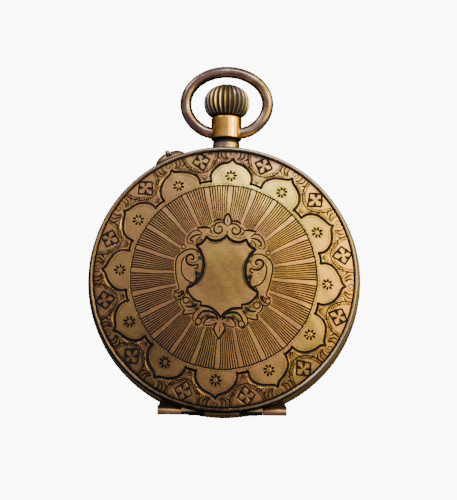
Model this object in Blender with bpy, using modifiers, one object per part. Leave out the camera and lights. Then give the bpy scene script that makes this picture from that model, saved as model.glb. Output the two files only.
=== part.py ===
"""Open-face pocket watch: engraved back, stem winding, pin setting.

The model is drawn in millimetres. The empty that carries it scales it to metres.
Frame: the watch lies on its crystal. The origin is the centre of the crystal's outer face,
+Z runs out through the back cover, and +Y runs from the centre to the pendant. Seen from the
dial (from -Z), three o'clock is at -X, and the hands turn forwards about +Z.
"""

import math

import bmesh
import bpy
from mathutils import Matrix, Vector

NAME = "pocket_watch"
MM = 0.001
FULL = 2 * math.pi

# Driving dimensions, in millimetres.
CASE_R = 25.0  # widest radius of the band
BAND_BOTTOM, BAND_TOP = 3.45, 9.6
BACK_APEX = 14.0  # top of the back cover, and so the thickness of the watch
BACK_DOME_R = 95.0  # radius of the back cover's curvature
BACK_WALL = 0.55
STEM_Z = 6.3  # height of the winding stem's axis
PENDANT_START, PENDANT_END = 25.12, 31.25
PENDANT_R, COLLAR_R = 2.88, 2.53
CROWN_START, CROWN_LENGTH, CROWN_R, CROWN_FLUTES = 31.4, 6.1, 4.3, 27
BOW_Y = 28.3  # the bow's pivot axis
BOW_WIRE_R, BOW_HALF_WIDTH, BOW_HEIGHT, BOW_RISE = 1.1, 7.63, 11.65, 6.15

HINGE_Y, HINGE_Z, KNUCKLE_R = -24.2, 9.1, 0.7
HINGE_HALF = 11.75  # half the length of the cover hinge
KNUCKLE_ENDS = (3.0, 3.15, 7.3, 7.45)  # where the cover's, the cuvette's and the case's knuckles end
BEZEL_HINGE_Y, BEZEL_HINGE_Z, BEZEL_KNUCKLE_R, BEZEL_HINGE_HALF = -23.7, 2.95, 0.55, 6.4
PIN_HOLE_R, HINGE_PIN_R = 0.4, 0.3

PUSH_ANGLE = math.radians(24.2)  # the setting pin, from the pendant towards -X
PUSH_Z, PUSH_R, PUSH_END = 7.2, 0.45, 27.0

CRYSTAL_R, CRYSTAL_FLAT_R, CRYSTAL_THICK = 20.9, 19.2, 1.2
DIAL_R, DIAL_Z, DIAL_THICK = 21.4, 2.9, 0.5
SECONDS_R = 4.8

PLATE_R, PLATE_BOTTOM, PLATE_TOP = 21.8, 4.5, 6.1
RECESS_FLOOR = 5.2
BRIDGE_BOTTOM, BRIDGE_TOP = 8.4, 9.4
MESH_GAP = 0.06  # between the tips of two wheels that drive each other

# Radii of the going train: each wheel's tips, and the pinion that it drives.
BARREL_R, CENTRE_PINION_R = 9.0, 1.2
CENTRE_R, THIRD_PINION_R = 7.2, 1.1
THIRD_R, FOURTH_PINION_R = 6.2, 0.94
FOURTH_R, ESCAPE_PINION_R = 5.2, 0.7
ESCAPE_R = 3.0
CANNON_R, MINUTE_R, MINUTE_PINION_R = 1.3, 3.9, 1.0
SETTING_R = 4.0
CROWN_WHEEL_R, RATCHET_R = 4.6, 4.6
BALANCE_R = 6.2


def polar(radius, degrees):
    angle = math.radians(degrees)
    return Vector((radius * math.cos(angle), radius * math.sin(angle)))


def meeting(a, radius_a, b, radius_b):
    """The point at radius_a from a and radius_b from b, on the right of the way from b to a."""
    way = a - b
    gap = way.length
    along = (radius_b**2 - radius_a**2 + gap**2) / (2 * gap)
    aside = math.sqrt(radius_b**2 - along**2)
    way.normalize()
    return b + along * way + aside * Vector((way.y, -way.x))


# Centres of the wheels, seen from the back.
CENTRE = Vector((0, 0))
BARREL = polar(BARREL_R + CENTRE_PINION_R + MESH_GAP, 135)
FOURTH = Vector((0, -11.0))
THIRD = meeting(
    CENTRE, CENTRE_R + THIRD_PINION_R + MESH_GAP, FOURTH, THIRD_R + FOURTH_PINION_R + MESH_GAP
)
ESCAPE = FOURTH + polar(FOURTH_R + ESCAPE_PINION_R + MESH_GAP, 200)
BALANCE = Vector((-12.5, -7.5))
PALLET = ESCAPE + 3.7 * (BALANCE - ESCAPE).normalized()
CROWN_WHEEL = Vector((0, BARREL.y + math.sqrt((CROWN_WHEEL_R + RATCHET_R + MESH_GAP) ** 2 - BARREL.x**2)))
MINUTE = polar(CANNON_R + MINUTE_R + MESH_GAP, 79)
SETTING = MINUTE + polar(MINUTE_R + SETTING_R + MESH_GAP, 93)
HOUR_R = MINUTE.length - MINUTE_PINION_R - MESH_GAP
LEVER_PIVOT = Vector((6.4, 16.3))
PUSH_WAY = Vector((-math.sin(PUSH_ANGLE), math.cos(PUSH_ANGLE), 0))

BRASS = ((0.55, 0.36, 0.14), 0.38, 1.0)
BRONZE = ((0.42, 0.25, 0.12), 0.42, 1.0)
GILT = ((0.80, 0.60, 0.28), 0.34, 1.0)
STEEL = ((0.55, 0.56, 0.58), 0.28, 1.0)
BLUED = ((0.03, 0.06, 0.24), 0.25, 1.0)
ENAMEL = ((0.90, 0.89, 0.84), 0.22, 0.0)
GLASS = ((0.85, 0.90, 0.92), 0.05, 0.0)
RUBY = ((0.55, 0.04, 0.12), 0.15, 0.0)


def clear_scene():
    for item in list(bpy.data.objects):
        bpy.data.objects.remove(item, do_unlink=True)


def new_collection(name):
    collection = bpy.data.collections.new(name)
    bpy.context.scene.collection.children.link(collection)
    return collection


clear_scene()
PARTS = new_collection(NAME)
CUTTERS = new_collection(NAME + "_cutters")
ROOT = bpy.data.objects.new(NAME, None)
ROOT.scale = (MM, MM, MM)
PARTS.objects.link(ROOT)


def place(name, mesh, look=None, at=(0, 0, 0), turn=None):
    """The object of a mesh: a part when it has a look, and a cutter or a helper when it has none."""
    item = bpy.data.objects.new(name, mesh)
    item.parent = ROOT
    item.location = at
    if turn is not None:
        item.rotation_euler = turn
    if look is None:
        CUTTERS.objects.link(item)
        item.hide_render = True
        item.display_type = "WIRE"
        return item
    PARTS.objects.link(item)
    colour, roughness, metallic = look
    material = bpy.data.materials.new(name)
    material.use_nodes = True
    shader = material.node_tree.nodes["Principled BSDF"]
    shader.inputs["Base Color"].default_value = (*colour, 1)
    shader.inputs["Roughness"].default_value = roughness
    shader.inputs["Metallic"].default_value = metallic
    mesh.materials.append(material)
    return item


ALONG_Z = (0, 0, 0)
ALONG_Y = (-math.pi / 2, 0, 0)  # the profile's +Z becomes +Y
ALONG_X = (0, math.pi / 2, 0)  # the profile's +Z becomes +X


def turned(name, profile, look=None, at=(0, 0, 0), turn=ALONG_Z, steps=48, ring=False):
    """A turned piece. Its profile of (radius, height) runs from top to bottom down the outside.

    A solid piece's profile starts and ends on the axis, and a ring's closes on itself.
    """
    mesh = bpy.data.meshes.new(name)
    points = [(radius, 0, height) for radius, height in profile]
    links = [(i, i + 1) for i in range(len(points) - 1)]
    if ring:
        links.append((len(points) - 1, 0))
    mesh.from_pydata(points, links, [])
    item = place(name, mesh, look, at, turn)
    screw = item.modifiers.new("Screw", "SCREW")
    screw.steps = screw.render_steps = steps
    screw.use_merge_vertices = True
    screw.merge_threshold = 0.0001
    screw.use_smooth_shade = True
    return item


def rod(name, radius, bottom, top, look=None, at=(0, 0), z=0.0, turn=ALONG_Z, steps=16):
    profile = [(0, top), (radius, top), (radius, bottom), (0, bottom)]
    return turned(name, profile, look, (*at, z), turn, steps)


def tube(name, radius, bore, bottom, top, look=None, at=(0, 0), z=0.0, turn=ALONG_Z, steps=16):
    profile = [(radius, top), (radius, bottom), (bore, bottom), (bore, top)]
    return turned(name, profile, look, (*at, z), turn, steps, ring=True)


def block(name, low, high, look=None):
    """A box between two corners."""
    mesh = bpy.data.meshes.new(name)
    shape = bmesh.new()
    bmesh.ops.create_cube(shape, size=1)
    low, high = Vector(low), Vector(high)
    for axis in range(3):
        span = high[axis] - low[axis]
        for vertex in shape.verts:
            vertex.co[axis] *= span
    shape.to_mesh(mesh)
    shape.free()
    return place(name, mesh, look, (low + high) / 2)


def flat(name, outlines, bottom, top, look=None, at=(0, 0)):
    """A plate cut to the first outline, with the other outlines as its holes."""
    curve = bpy.data.curves.new(name, "CURVE")
    curve.dimensions = "2D"
    curve.fill_mode = "BOTH"
    curve.extrude = (top - bottom) / 2
    for outline in outlines:
        spline = curve.splines.new("POLY")
        spline.points.add(len(outline) - 1)
        for point, (x, y) in zip(spline.points, outline):
            point.co = (x, y, 0, 1)
        spline.use_cyclic_u = True
    guide = place(name + "_outline", curve)
    mesh = meshed(guide, name)
    return place(name, mesh, look, (at[0], at[1], (top + bottom) / 2))


def meshed(guide, name):
    """The welded mesh of a curve object, which is then removed."""
    bpy.context.view_layer.update()
    graph = bpy.context.evaluated_depsgraph_get()
    mesh = bpy.data.meshes.new_from_object(guide.evaluated_get(graph))
    mesh.name = name
    bpy.data.objects.remove(guide, do_unlink=True)
    shape = bmesh.new()
    shape.from_mesh(mesh)
    bmesh.ops.remove_doubles(shape, verts=shape.verts, dist=0.0001)
    bmesh.ops.recalc_face_normals(shape, faces=shape.faces)
    shape.to_mesh(mesh)
    shape.free()
    return mesh


def combine(item, operation, *others):
    for other in others:
        step = item.modifiers.new(operation.title(), "BOOLEAN")
        step.operation = operation
        step.object = other
        step.solver = "EXACT"
    return item


def cut(item, *others):
    return combine(item, "DIFFERENCE", *others)


def join(item, *others):
    return combine(item, "UNION", *others)


def circle(radius, count=24, centre=(0, 0), start=0.0):
    return [
        (
            centre[0] + radius * math.cos(start + FULL * i / count),
            centre[1] + radius * math.sin(start + FULL * i / count),
        )
        for i in range(count)
    ]


def toothed(tip, root, teeth):
    """A wheel's outline: one point on each tip and one in each gap."""
    return [
        (radius * math.cos(FULL * (i + shift) / teeth), radius * math.sin(FULL * (i + shift) / teeth))
        for i in range(teeth)
        for radius, shift in ((tip, 0.0), (root, 0.5))
    ]


def saw(tip, root, teeth, lean=0.15):
    """A ratchet's outline: each tooth has a long back and a steep face."""
    return [
        (radius * math.cos(FULL * (i + shift) / teeth), radius * math.sin(FULL * (i + shift) / teeth))
        for i in range(teeth)
        for radius, shift in ((root, 0.0), (tip, 1 - lean))
    ]


def windows(inner, outer, arms, half_arm, arc_points=3):
    """The openings between a wheel's arms, each bounded by two arcs and two arm sides."""
    openings = []
    for i in range(arms):
        middle = FULL * (i + 0.5) / arms
        half = math.pi / arms
        outer_half = half - half_arm / outer
        inner_half = half - half_arm / inner
        steps = [2 * k / (arc_points - 1) - 1 for k in range(arc_points)]
        arc = [(outer, middle + outer_half * s) for s in steps]
        arc += [(inner, middle - inner_half * s) for s in (-1, 0, 1)]
        openings.append([(r * math.cos(a), r * math.sin(a)) for r, a in arc])
    return openings


def capsule(a, b, radius_a, radius_b, count=5):
    """The outline of a bar with round ends of two radii, from a to b."""
    a, b = Vector(a), Vector(b)
    way = math.atan2(b.y - a.y, b.x - a.x)
    steps = [math.pi * k / (count - 1) for k in range(count)]
    far = [b + polar(radius_b, math.degrees(way - math.pi / 2 + s)) for s in steps]
    near = [a + polar(radius_a, math.degrees(way + math.pi / 2 + s)) for s in steps]
    return [tuple(point) for point in far + near]


def arc_band(inner, outer, start, end, count=14):
    """The outline of a stretch of a ring, between two angles in degrees."""
    steps = [start + (end - start) * k / (count - 1) for k in range(count)]
    return [tuple(polar(outer, a)) for a in steps] + [tuple(polar(inner, a)) for a in reversed(steps)]


def lens_profile(apex, dome_r, start, end, count):
    """Points of a dome's section between two radii, from the middle outwards."""
    radii = [start + (end - start) * k / (count - 1) for k in range(count)]
    return [(r, apex - dome_r + math.sqrt(dome_r**2 - r**2)) for r in radii]


# ---------------------------------------------------------------- case


def make_case_middle():
    profile = [
        (22.5, 10.05), (22.5, BAND_TOP), (24.2, BAND_TOP), (CASE_R, 8.2), (CASE_R, 4.9),
        (24.2, BAND_BOTTOM), (22.6, BAND_BOTTOM), (22.6, 2.5), (22.0, 2.5), (22.0, 6.2), (21.2, 6.2),
        (21.2, 7.0), (21.9, 7.0), (21.9, 10.05),
    ]  # fmt: skip
    body = turned("case_middle", profile, BRONZE, steps=48, ring=True)
    half = HINGE_HALF + 0.15
    top_notch = block("cover_notch", (-half, -27, 8.3), (half, -23.4, 11))
    half = BEZEL_HINGE_HALF + 0.15
    low_notch = block("bezel_notch", (-half, -27, 2), (half, -23.05, 3.65))
    stem_hole = rod("stem_hole", 1.75, 20, 27, z=STEM_Z, turn=ALONG_Y)
    push_turn = (-math.pi / 2, 0, PUSH_ANGLE)
    push_hole = rod("push_hole", PUSH_R + 0.1, 20, 27, z=PUSH_Z, turn=push_turn, steps=12)
    return cut(body, top_notch, low_notch, stem_hole, push_hole)


def knuckle(name, start, end, radius, y, z, look=None):
    piece = tube(name, radius, PIN_HOLE_R, 0, end - start, look, turn=ALONG_X, steps=12)
    piece.location = (start, y, z)
    return piece


def make_cover_hinge():
    """The case's two knuckles, each on a tab that is filed to the band, and the pin through all five."""
    start, end = KNUCKLE_ENDS[3], HINGE_HALF
    for side, low, high in (("right", start, end), ("left", -end, -start)):
        piece = knuckle(f"hinge_knuckle_{side}", low, high, KNUCKLE_R, HINGE_Y, HINGE_Z, BRASS)
        tab = block(f"hinge_tab_{side}", (low, HINGE_Y + 0.42, 8.5), (high, -21.4, 9.2))
        band = rod(f"hinge_band_{side}", CASE_R + 0.1, 6, 12, steps=96)
        join(piece, cut(tab, band))
    pin = rod("cover_hinge_pin", HINGE_PIN_R, -end, end, STEEL, turn=ALONG_X, steps=12)
    pin.location = (0, HINGE_Y, HINGE_Z)


def make_bezel_hinge():
    start, end = 2.55, BEZEL_HINGE_HALF
    spot = (BEZEL_KNUCKLE_R, BEZEL_HINGE_Y, BEZEL_HINGE_Z, BRASS)
    knuckle("bezel_knuckle_right", start, end, *spot)
    knuckle("bezel_knuckle_left", -end, -start, *spot)
    pin = rod("bezel_hinge_pin", HINGE_PIN_R, -end, end, STEEL, turn=ALONG_X, steps=12)
    pin.location = (0, BEZEL_HINGE_Y, BEZEL_HINGE_Z)


def make_back_cover():
    """The domed back, with a rolled rim and the centre knuckle of the cover hinge."""
    outside = lens_profile(BACK_APEX, BACK_DOME_R, 0, 23.3, 5)
    rim = [(24.1, 10.95), (24.7, 10.5), (24.65, 9.75), (24.0, 9.75), (23.9, 10.35)]
    inner_dome_r = BACK_DOME_R - BACK_WALL
    inside = lens_profile(BACK_APEX - BACK_WALL, inner_dome_r, 0, 23.1, 4)
    body = turned("back_cover", outside + rim + inside[::-1], BRASS, steps=48)
    half = HINGE_HALF + 0.2
    notch = block("back_cover_notch", (-half, -27, 9), (half, -20, 9.97))
    end = KNUCKLE_ENDS[0]
    lug = block("back_cover_lug", (-end, HINGE_Y - 0.3, 9.55), (end, HINGE_Y + 0.3, 10.2))
    barrel = knuckle("back_cover_knuckle", -end, end, KNUCKLE_R, HINGE_Y, HINGE_Z)
    return join(cut(body, notch), lug, barrel)


def make_cuvette():
    """The inner dust cover, with its two knuckles on the same pin as the back cover's."""
    dome_r = 900.0
    top = lens_profile(10.75, dome_r, 0, 22.7, 2)
    skirt = [(23.1, 10.35), (23.1, 9.75), (22.7, 9.75), (22.7, 10.15)]
    under = lens_profile(10.42, dome_r, 0, 21.6, 2)
    body = turned("cuvette", top + skirt + under[::-1], GILT, steps=40)
    inner, outer = KNUCKLE_ENDS[1], KNUCKLE_ENDS[2]
    for side, start, end in (("right", inner, outer), ("left", -outer, -inner)):
        leaf = (start, HINGE_Y - 0.1, 9.66), (end, -21.9, 9.88)
        lug = cut(block(f"cuvette_leaf_{side}", *leaf), rod(f"cuvette_well_{side}", 22.75, 9, 12, steps=40))
        barrel = knuckle(f"cuvette_knuckle_{side}", start, end, KNUCKLE_R, HINGE_Y, HINGE_Z)
        join(body, lug, barrel)
    return body


def make_bezel():
    profile = [
        (24.3, 3.3), (24.55, 2.7), (24.0, 1.6), (22.8, 0.8), (21.1, 0.35), (21.05, 1.35), (20.4, 1.35),
        (20.4, 1.7), (22.75, 2.3), (22.75, 3.3),
    ]  # fmt: skip
    body = turned("bezel", profile, BRASS, steps=48, ring=True)
    half = BEZEL_HINGE_HALF + 0.2
    notch = block("bezel_cut", (-half, -27, 2.3), (half, -23.05, 4))
    lug = block("bezel_lug", (-2.3, BEZEL_HINGE_Y - 0.2, 1.9), (2.3, -22.9, 2.6))
    barrel = knuckle("bezel_own_knuckle", -2.4, 2.4, BEZEL_KNUCKLE_R, BEZEL_HINGE_Y, BEZEL_HINGE_Z)
    return join(cut(body, notch), lug, barrel)


def make_crystal():
    profile = [
        (0, CRYSTAL_THICK), (CRYSTAL_R, CRYSTAL_THICK), (CRYSTAL_R, 0.95), (20.5, 0.4),
        (CRYSTAL_FLAT_R, 0), (0, 0),
    ]  # fmt: skip
    return turned("crystal", profile, GLASS, steps=48)


def make_pendant():
    """The neck: a narrow collar on the band, a sleeve for the bow, and a bore for the stem."""
    bore, tenon_r = 0.85, 1.6
    profile = [
        (bore, PENDANT_END), (2.35, PENDANT_END), (PENDANT_R, 30.75), (PENDANT_R, 27.3), (2.62, 26.85),
        (COLLAR_R, 26.6), (COLLAR_R, PENDANT_START), (tenon_r, PENDANT_START), (tenon_r, 22.3), (bore, 22.3),
    ]  # fmt: skip
    body = turned("pendant", profile, BRASS, (0, 0, STEM_Z), ALONG_Y, 24, ring=True)
    for side, name in ((1, "bow_socket_right"), (-1, "bow_socket_left")):
        socket = rod(name, BOW_WIRE_R + 0.12, 0, 3, turn=ALONG_X)
        socket.location = (2.0 if side > 0 else -5.0, BOW_Y, STEM_Z)
        cut(body, socket)
    return body


def make_bow():
    """The ring: one bent wire whose two ends turn in the pendant's sockets."""
    centre_y = BOW_Y + BOW_HEIGHT - BOW_RISE
    start = math.asin((BOW_Y - centre_y + 0.35) / BOW_RISE)
    curve = bpy.data.curves.new("bow", "CURVE")
    curve.dimensions = "3D"
    curve.bevel_depth = BOW_WIRE_R
    curve.bevel_resolution = 3
    curve.use_fill_caps = True
    count = 26
    angles = [start + (math.pi - 2 * start) * k / (count - 1) for k in range(count)]
    arch = [(BOW_HALF_WIDTH * math.cos(a), centre_y + BOW_RISE * math.sin(a)) for a in angles]
    ends = ((2.15, BOW_Y), (3.1, BOW_Y - 0.05))
    points = [*ends, *arch, *((-x, y) for x, y in reversed(ends))]
    spline = curve.splines.new("POLY")
    spline.points.add(len(points) - 1)
    for point, (x, y) in zip(spline.points, points):
        point.co = (x, y - BOW_Y, 0, 1)
    guide = place("bow_wire", curve)
    return place("bow", meshed(guide, "bow"), BRONZE, (0, BOW_Y, STEM_Z))


def make_crown():
    """The winding crown: a bulb with round flutes, drawn as rings of ridges and grooves."""
    section = [
        (0.0, 0.74, 0.6), (0.12, 0.89, 1.0), (0.26, 0.98, 1.0), (0.44, 1.0, 1.0),
        (0.61, 0.95, 1.0), (0.77, 0.82, 1.0), (0.91, 0.54, 0.6), (1.0, 0.14, 0.0),
    ]  # fmt: skip
    groove = 0.06
    shape = bmesh.new()
    rings = []
    for along, width, depth in section:
        ring = []
        for k in range(2 * CROWN_FLUTES):
            angle = FULL * k / (2 * CROWN_FLUTES)
            radius = CROWN_R * width * (1 - groove * depth * (k % 2))
            point = (radius * math.cos(angle), radius * math.sin(angle), CROWN_LENGTH * along)
            ring.append(shape.verts.new(point))
        rings.append(ring)
    for low, high in zip(rings, rings[1:]):
        for k in range(len(low)):
            after = (k + 1) % len(low)
            shape.faces.new((low[k], low[after], high[after], high[k]))
    shape.faces.new(rings[-1])
    shape.faces.new(reversed(rings[0]))
    mesh = bpy.data.meshes.new("crown")
    shape.to_mesh(mesh)
    shape.free()
    body = place("crown", mesh, BRONZE, (0, CROWN_START, STEM_Z), ALONG_Y)
    bore = rod("crown_bore", 0.68, CROWN_START - 1, CROWN_START + 3.6, z=STEM_Z, turn=ALONG_Y, steps=12)
    return cut(body, bore)


def make_stem():
    profile = [
        (0, 34.9), (0.58, 34.9), (0.58, 19.6), (0.7, 19.5), (0.7, 19.3), (0.58, 19.2), (0.58, 14.0),
        (0.3, 13.9), (0.3, 13.3), (0, 13.3),
    ]  # fmt: skip
    return turned("winding_stem", profile, STEEL, (0, 0, STEM_Z), ALONG_Y, 12)


def make_push():
    turn = (-math.pi / 2, 0, PUSH_ANGLE)
    profile = [
        (0, PUSH_END), (0.27, PUSH_END - 0.04), (0.4, PUSH_END - 0.18), (PUSH_R, PUSH_END - 0.4),
        (PUSH_R, 21.75), (0, 21.75),
    ]  # fmt: skip
    pin = turned("setting_pin", profile, BRONZE, (0, 0, PUSH_Z), turn, 16)
    mesh = bpy.data.meshes.new("pin_guard")
    shape = bmesh.new()
    bmesh.ops.create_uvsphere(shape, u_segments=20, v_segments=10, radius=1)
    bmesh.ops.scale(shape, vec=(3.0, 1.65, 1.75), verts=shape.verts)
    shape.to_mesh(mesh)
    shape.free()
    spot = 24.9 * PUSH_WAY
    guard = place("pin_guard", mesh, BRASS, (spot.x, spot.y, PUSH_Z - 0.2), (0, 0, PUSH_ANGLE))
    saddle = rod("guard_saddle", CASE_R + 0.1, 0, 14, steps=96)
    hole = rod("guard_hole", PUSH_R + 0.1, 20, 30, z=PUSH_Z, turn=turn, steps=12)
    slot = block("guard_slot", (-0.62, 25.4, PUSH_Z - 4), (0.62, 30, PUSH_Z + 4))
    slot.location = Matrix.Rotation(PUSH_ANGLE, 3, "Z") @ slot.location
    slot.rotation_euler = (0, 0, PUSH_ANGLE)
    cut(guard, saddle, slot, hole)
    return pin, guard


# ---------------------------------------------------------------- dial side


def make_dial():
    outline = circle(DIAL_R, 48)
    holes = [circle(1.6, 20), circle(SECONDS_R, 28, FOURTH)]
    flat("dial", [outline, *holes], DIAL_Z, DIAL_Z + DIAL_THICK, ENAMEL)
    sunk = [circle(SECONDS_R - 0.1, 28), circle(0.55, 12)]
    flat("seconds_dial", sunk, DIAL_Z + 0.25, DIAL_Z + DIAL_THICK, ENAMEL, FOURTH)


def hand(name, hour_angle, length, half_width, boss, hole, bottom, thick, at=(0, 0), tail=0.0):
    """A spade-free leaf hand. hour_angle is in degrees, clockwise from twelve as the dial shows it."""
    way = 90 + hour_angle
    outline = [
        (boss * math.cos(a), boss * math.sin(a))
        for a in (math.radians(20 + 320 * k / 12) for k in range(13))
    ]
    leaf = [(0.35, 0.55), (0.55, 1.0), (0.8, 0.62), (1.0, 0.1)]
    under = [(length * s, -half_width * w) for s, w in leaf]
    over = [(length * s, half_width * w) for s, w in reversed(leaf)]
    neck = [(boss + 0.4, -0.3 * half_width)], [(boss + 0.4, 0.3 * half_width)]
    shape = outline + neck[0] + under + over + neck[1]
    if tail:
        shape = [(x, y) for x, y in shape if x > -boss * 0.9]
        shape[6:6] = [(-tail, 0.25 * half_width), (-tail, -0.25 * half_width)]
    item = flat(name, [shape, circle(hole, 12)], bottom, bottom + thick, BLUED, at)
    item.rotation_euler = (0, 0, math.radians(way))
    return item


def make_hands():
    hand("hour_hand", 305, 11.6, 1.15, 2.0, 1.4, 2.05, 0.2)
    hand("minute_hand", 60, 16.8, 0.85, 1.5, 0.9, 1.6, 0.2)
    hand("seconds_hand", 130, 3.9, 0.28, 0.62, 0.32, 2.52, 0.14, FOURTH)


def make_motion_work():
    cannon = tube("cannon_pinion", 0.8, 0.5, 1.5, 4.35, STEEL, steps=12)
    join(cannon, flat("cannon_leaves", [toothed(CANNON_R, 0.9, 10), circle(0.65, 10)], 3.95, 4.35))
    hour = tube("hour_wheel", 1.32, 0.92, 1.95, 3.85, GILT, steps=12)
    join(hour, flat("hour_teeth", [toothed(HOUR_R, HOUR_R - 0.4, 24), circle(1.12, 12)], 3.55, 3.85))
    minute = flat("minute_wheel", [toothed(MINUTE_R, MINUTE_R - 0.4, 24), circle(0.4, 8)], 3.95, 4.3,
                  GILT, MINUTE)
    leaves = flat("minute_leaves", [toothed(MINUTE_PINION_R, 0.65, 8), circle(0.4, 8)], 3.5, 4.1, None, MINUTE)
    join(minute, leaves)
    flat("setting_wheel", [toothed(SETTING_R, SETTING_R - 0.4, 24), circle(0.6, 10)], 3.95, 4.3, STEEL,
         SETTING)


# ---------------------------------------------------------------- movement


def make_main_plate():
    """The bottom plate, with its recesses, pivot holes and the posts of the motion work."""
    body = rod("main_plate", PLATE_R, PLATE_BOTTOM, PLATE_TOP, GILT, steps=48)
    cut(
        body,
        rod("centre_recess", CENTRE_R + 0.25, RECESS_FLOOR, 7, steps=28),
        rod("third_recess", THIRD_PINION_R + 0.3, RECESS_FLOOR, 7, at=THIRD),
        block("stem_pocket", (-2.0, 13.0, 3), (2.0, 23, 7)),
        rod("centre_pivot_hole", 0.95, 3, 7, steps=12),
        rod("fourth_pivot_hole", 0.4, 3, 7, at=FOURTH, steps=10),
        rod("barrel_pivot_hole", 1.0, 5.1, 7, at=BARREL, steps=12),
    )
    for name, spot in (("escape", ESCAPE), ("pallet", PALLET), ("balance", BALANCE), ("third", THIRD)):
        cut(body, rod(f"{name}_pivot_hole", 0.3, 4.8, 7, at=spot, steps=8))
    for name, degrees in (("right", 25), ("left", 235)):
        cut(body, rod(f"case_screw_hole_{name}", 0.6, 4.8, 7, at=polar(20.5, degrees), steps=10))
    join(
        body,
        rod("minute_post", 0.3, 3.5, 4.7, at=MINUTE, steps=10),
        rod("setting_post", 0.5, 3.6, 4.7, at=SETTING, steps=10),
    )
    return body


def cock(name, foot, pivot, foot_r, arm_r, bottom, top, look=GILT, hole=0.3, floor=PLATE_TOP + 0.05):
    """A bridge on one foot: an arm from the foot to the pivot, and the foot down to the plate."""
    foot, pivot = Vector(foot), Vector(pivot)
    beyond = pivot + 0.4 * (pivot - foot).normalized()
    body = flat(name, [capsule(foot, beyond, foot_r, arm_r)], bottom, top, look)
    join(body, rod(name + "_foot", foot_r * 0.94, floor, (bottom + top) / 2, at=foot, steps=14))
    return cut(body, rod(name + "_pivot", hole, bottom - 1, top + 1, at=pivot, steps=10))


def make_bridges():
    inner_edge = [(-20.3, 3.2), (-13.5, 2.6), (-8.0, 1.0), (-3.0, 2.8), (2.4, 5.8), (9.4, 9.0)]
    arc = [tuple(polar(20.8, 64 + 108 * k / 15)) for k in range(16)]
    bridge = flat("barrel_bridge", [arc + inner_edge], BRIDGE_BOTTOM, BRIDGE_TOP, GILT)
    join(
        bridge,
        flat("barrel_bridge_foot", [arc_band(19.6, 20.7, 121, 164)], PLATE_TOP + 0.05, 8.8),
        rod("barrel_bridge_post", 1.5, PLATE_TOP + 0.05, 8.8, at=(8.0, 11.4), steps=14),
    )
    cut(
        bridge,
        rod("crown_wheel_seat", CROWN_WHEEL_R + 0.15, 8, 11, at=CROWN_WHEEL, steps=28),
        rod("arbor_hole", 1.0, 8, 11, at=BARREL, steps=16),
        rod("bridge_screw_hole", 0.95, 8.9, 11, at=(8.0, 11.4), steps=14),
    )
    cock("centre_bridge", (14.8, 3.6), CENTRE, 2.0, 1.7, BRIDGE_BOTTOM, BRIDGE_TOP, hole=0.4)
    cock("third_wheel_cock", (15.0, -6.8), THIRD, 1.8, 1.4, BRIDGE_BOTTOM, BRIDGE_TOP)
    cock("fourth_wheel_cock", (6.0, -17.4), FOURTH, 1.7, 1.4, BRIDGE_BOTTOM, BRIDGE_TOP)
    cock("escape_wheel_cock", (-4.5, -18.4), ESCAPE, 1.5, 1.2, 7.75, 8.6)
    cock("pallet_cock", (-11.4, -14.6), PALLET, 1.1, 0.8, 7.5, 7.75)
    balance = cock("balance_cock", (-17.0, -0.7), BALANCE, 1.9, 1.6, 9.2, 9.85)
    cut(balance, rod("cock_screw_hole", 1.1, 9.5, 11, at=(-17.0, -0.7), steps=14))


def make_barrel():
    wall, floor_z, drum_top = 8.4, 6.3, 8.15
    x, y = BARREL
    profile = [
        (wall, drum_top - 0.3), (wall, floor_z + 0.45), (BARREL_R - 0.4, floor_z + 0.45),
        (BARREL_R - 0.4, floor_z), (0.95, floor_z), (0.95, floor_z + 0.25), (wall - 0.4, floor_z + 0.25),
        (wall - 0.4, drum_top - 0.3),
    ]  # fmt: skip
    drum = turned("barrel_drum", profile, GILT, (x, y, 0), steps=24, ring=True)
    teeth = [toothed(BARREL_R, BARREL_R - 0.5, 40), circle(BARREL_R - 0.9, 20)]
    join(drum, flat("barrel_teeth", teeth, floor_z + 0.05, floor_z + 0.4, None, BARREL))
    tube("barrel_cover", wall, 0.95, drum_top - 0.22, drum_top, GILT, BARREL, steps=24)
    arbor = [
        (0, 9.95), (0.85, 9.95), (0.85, 7.8), (1.3, 7.75), (1.3, 6.75), (0.85, 6.7), (0.85, 5.25), (0, 5.25),
    ]  # fmt: skip
    turned("barrel_arbor", arbor, STEEL, (x, y, 0), steps=16)
    turns, per_turn, thick = 4, 14, 0.22
    spiral = []
    for k in range(turns * per_turn + 1):
        share = k / (turns * per_turn)
        spiral.append((1.5 + 6.2 * share**0.8, FULL * turns * share))
    inner = [((r - thick / 2) * math.cos(a), (r - thick / 2) * math.sin(a)) for r, a in spiral]
    outer = [((r + thick / 2) * math.cos(a), (r + thick / 2) * math.sin(a)) for r, a in spiral]
    flat("mainspring", [outer + inner[::-1]], 6.65, 7.8, STEEL, BARREL)


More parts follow.
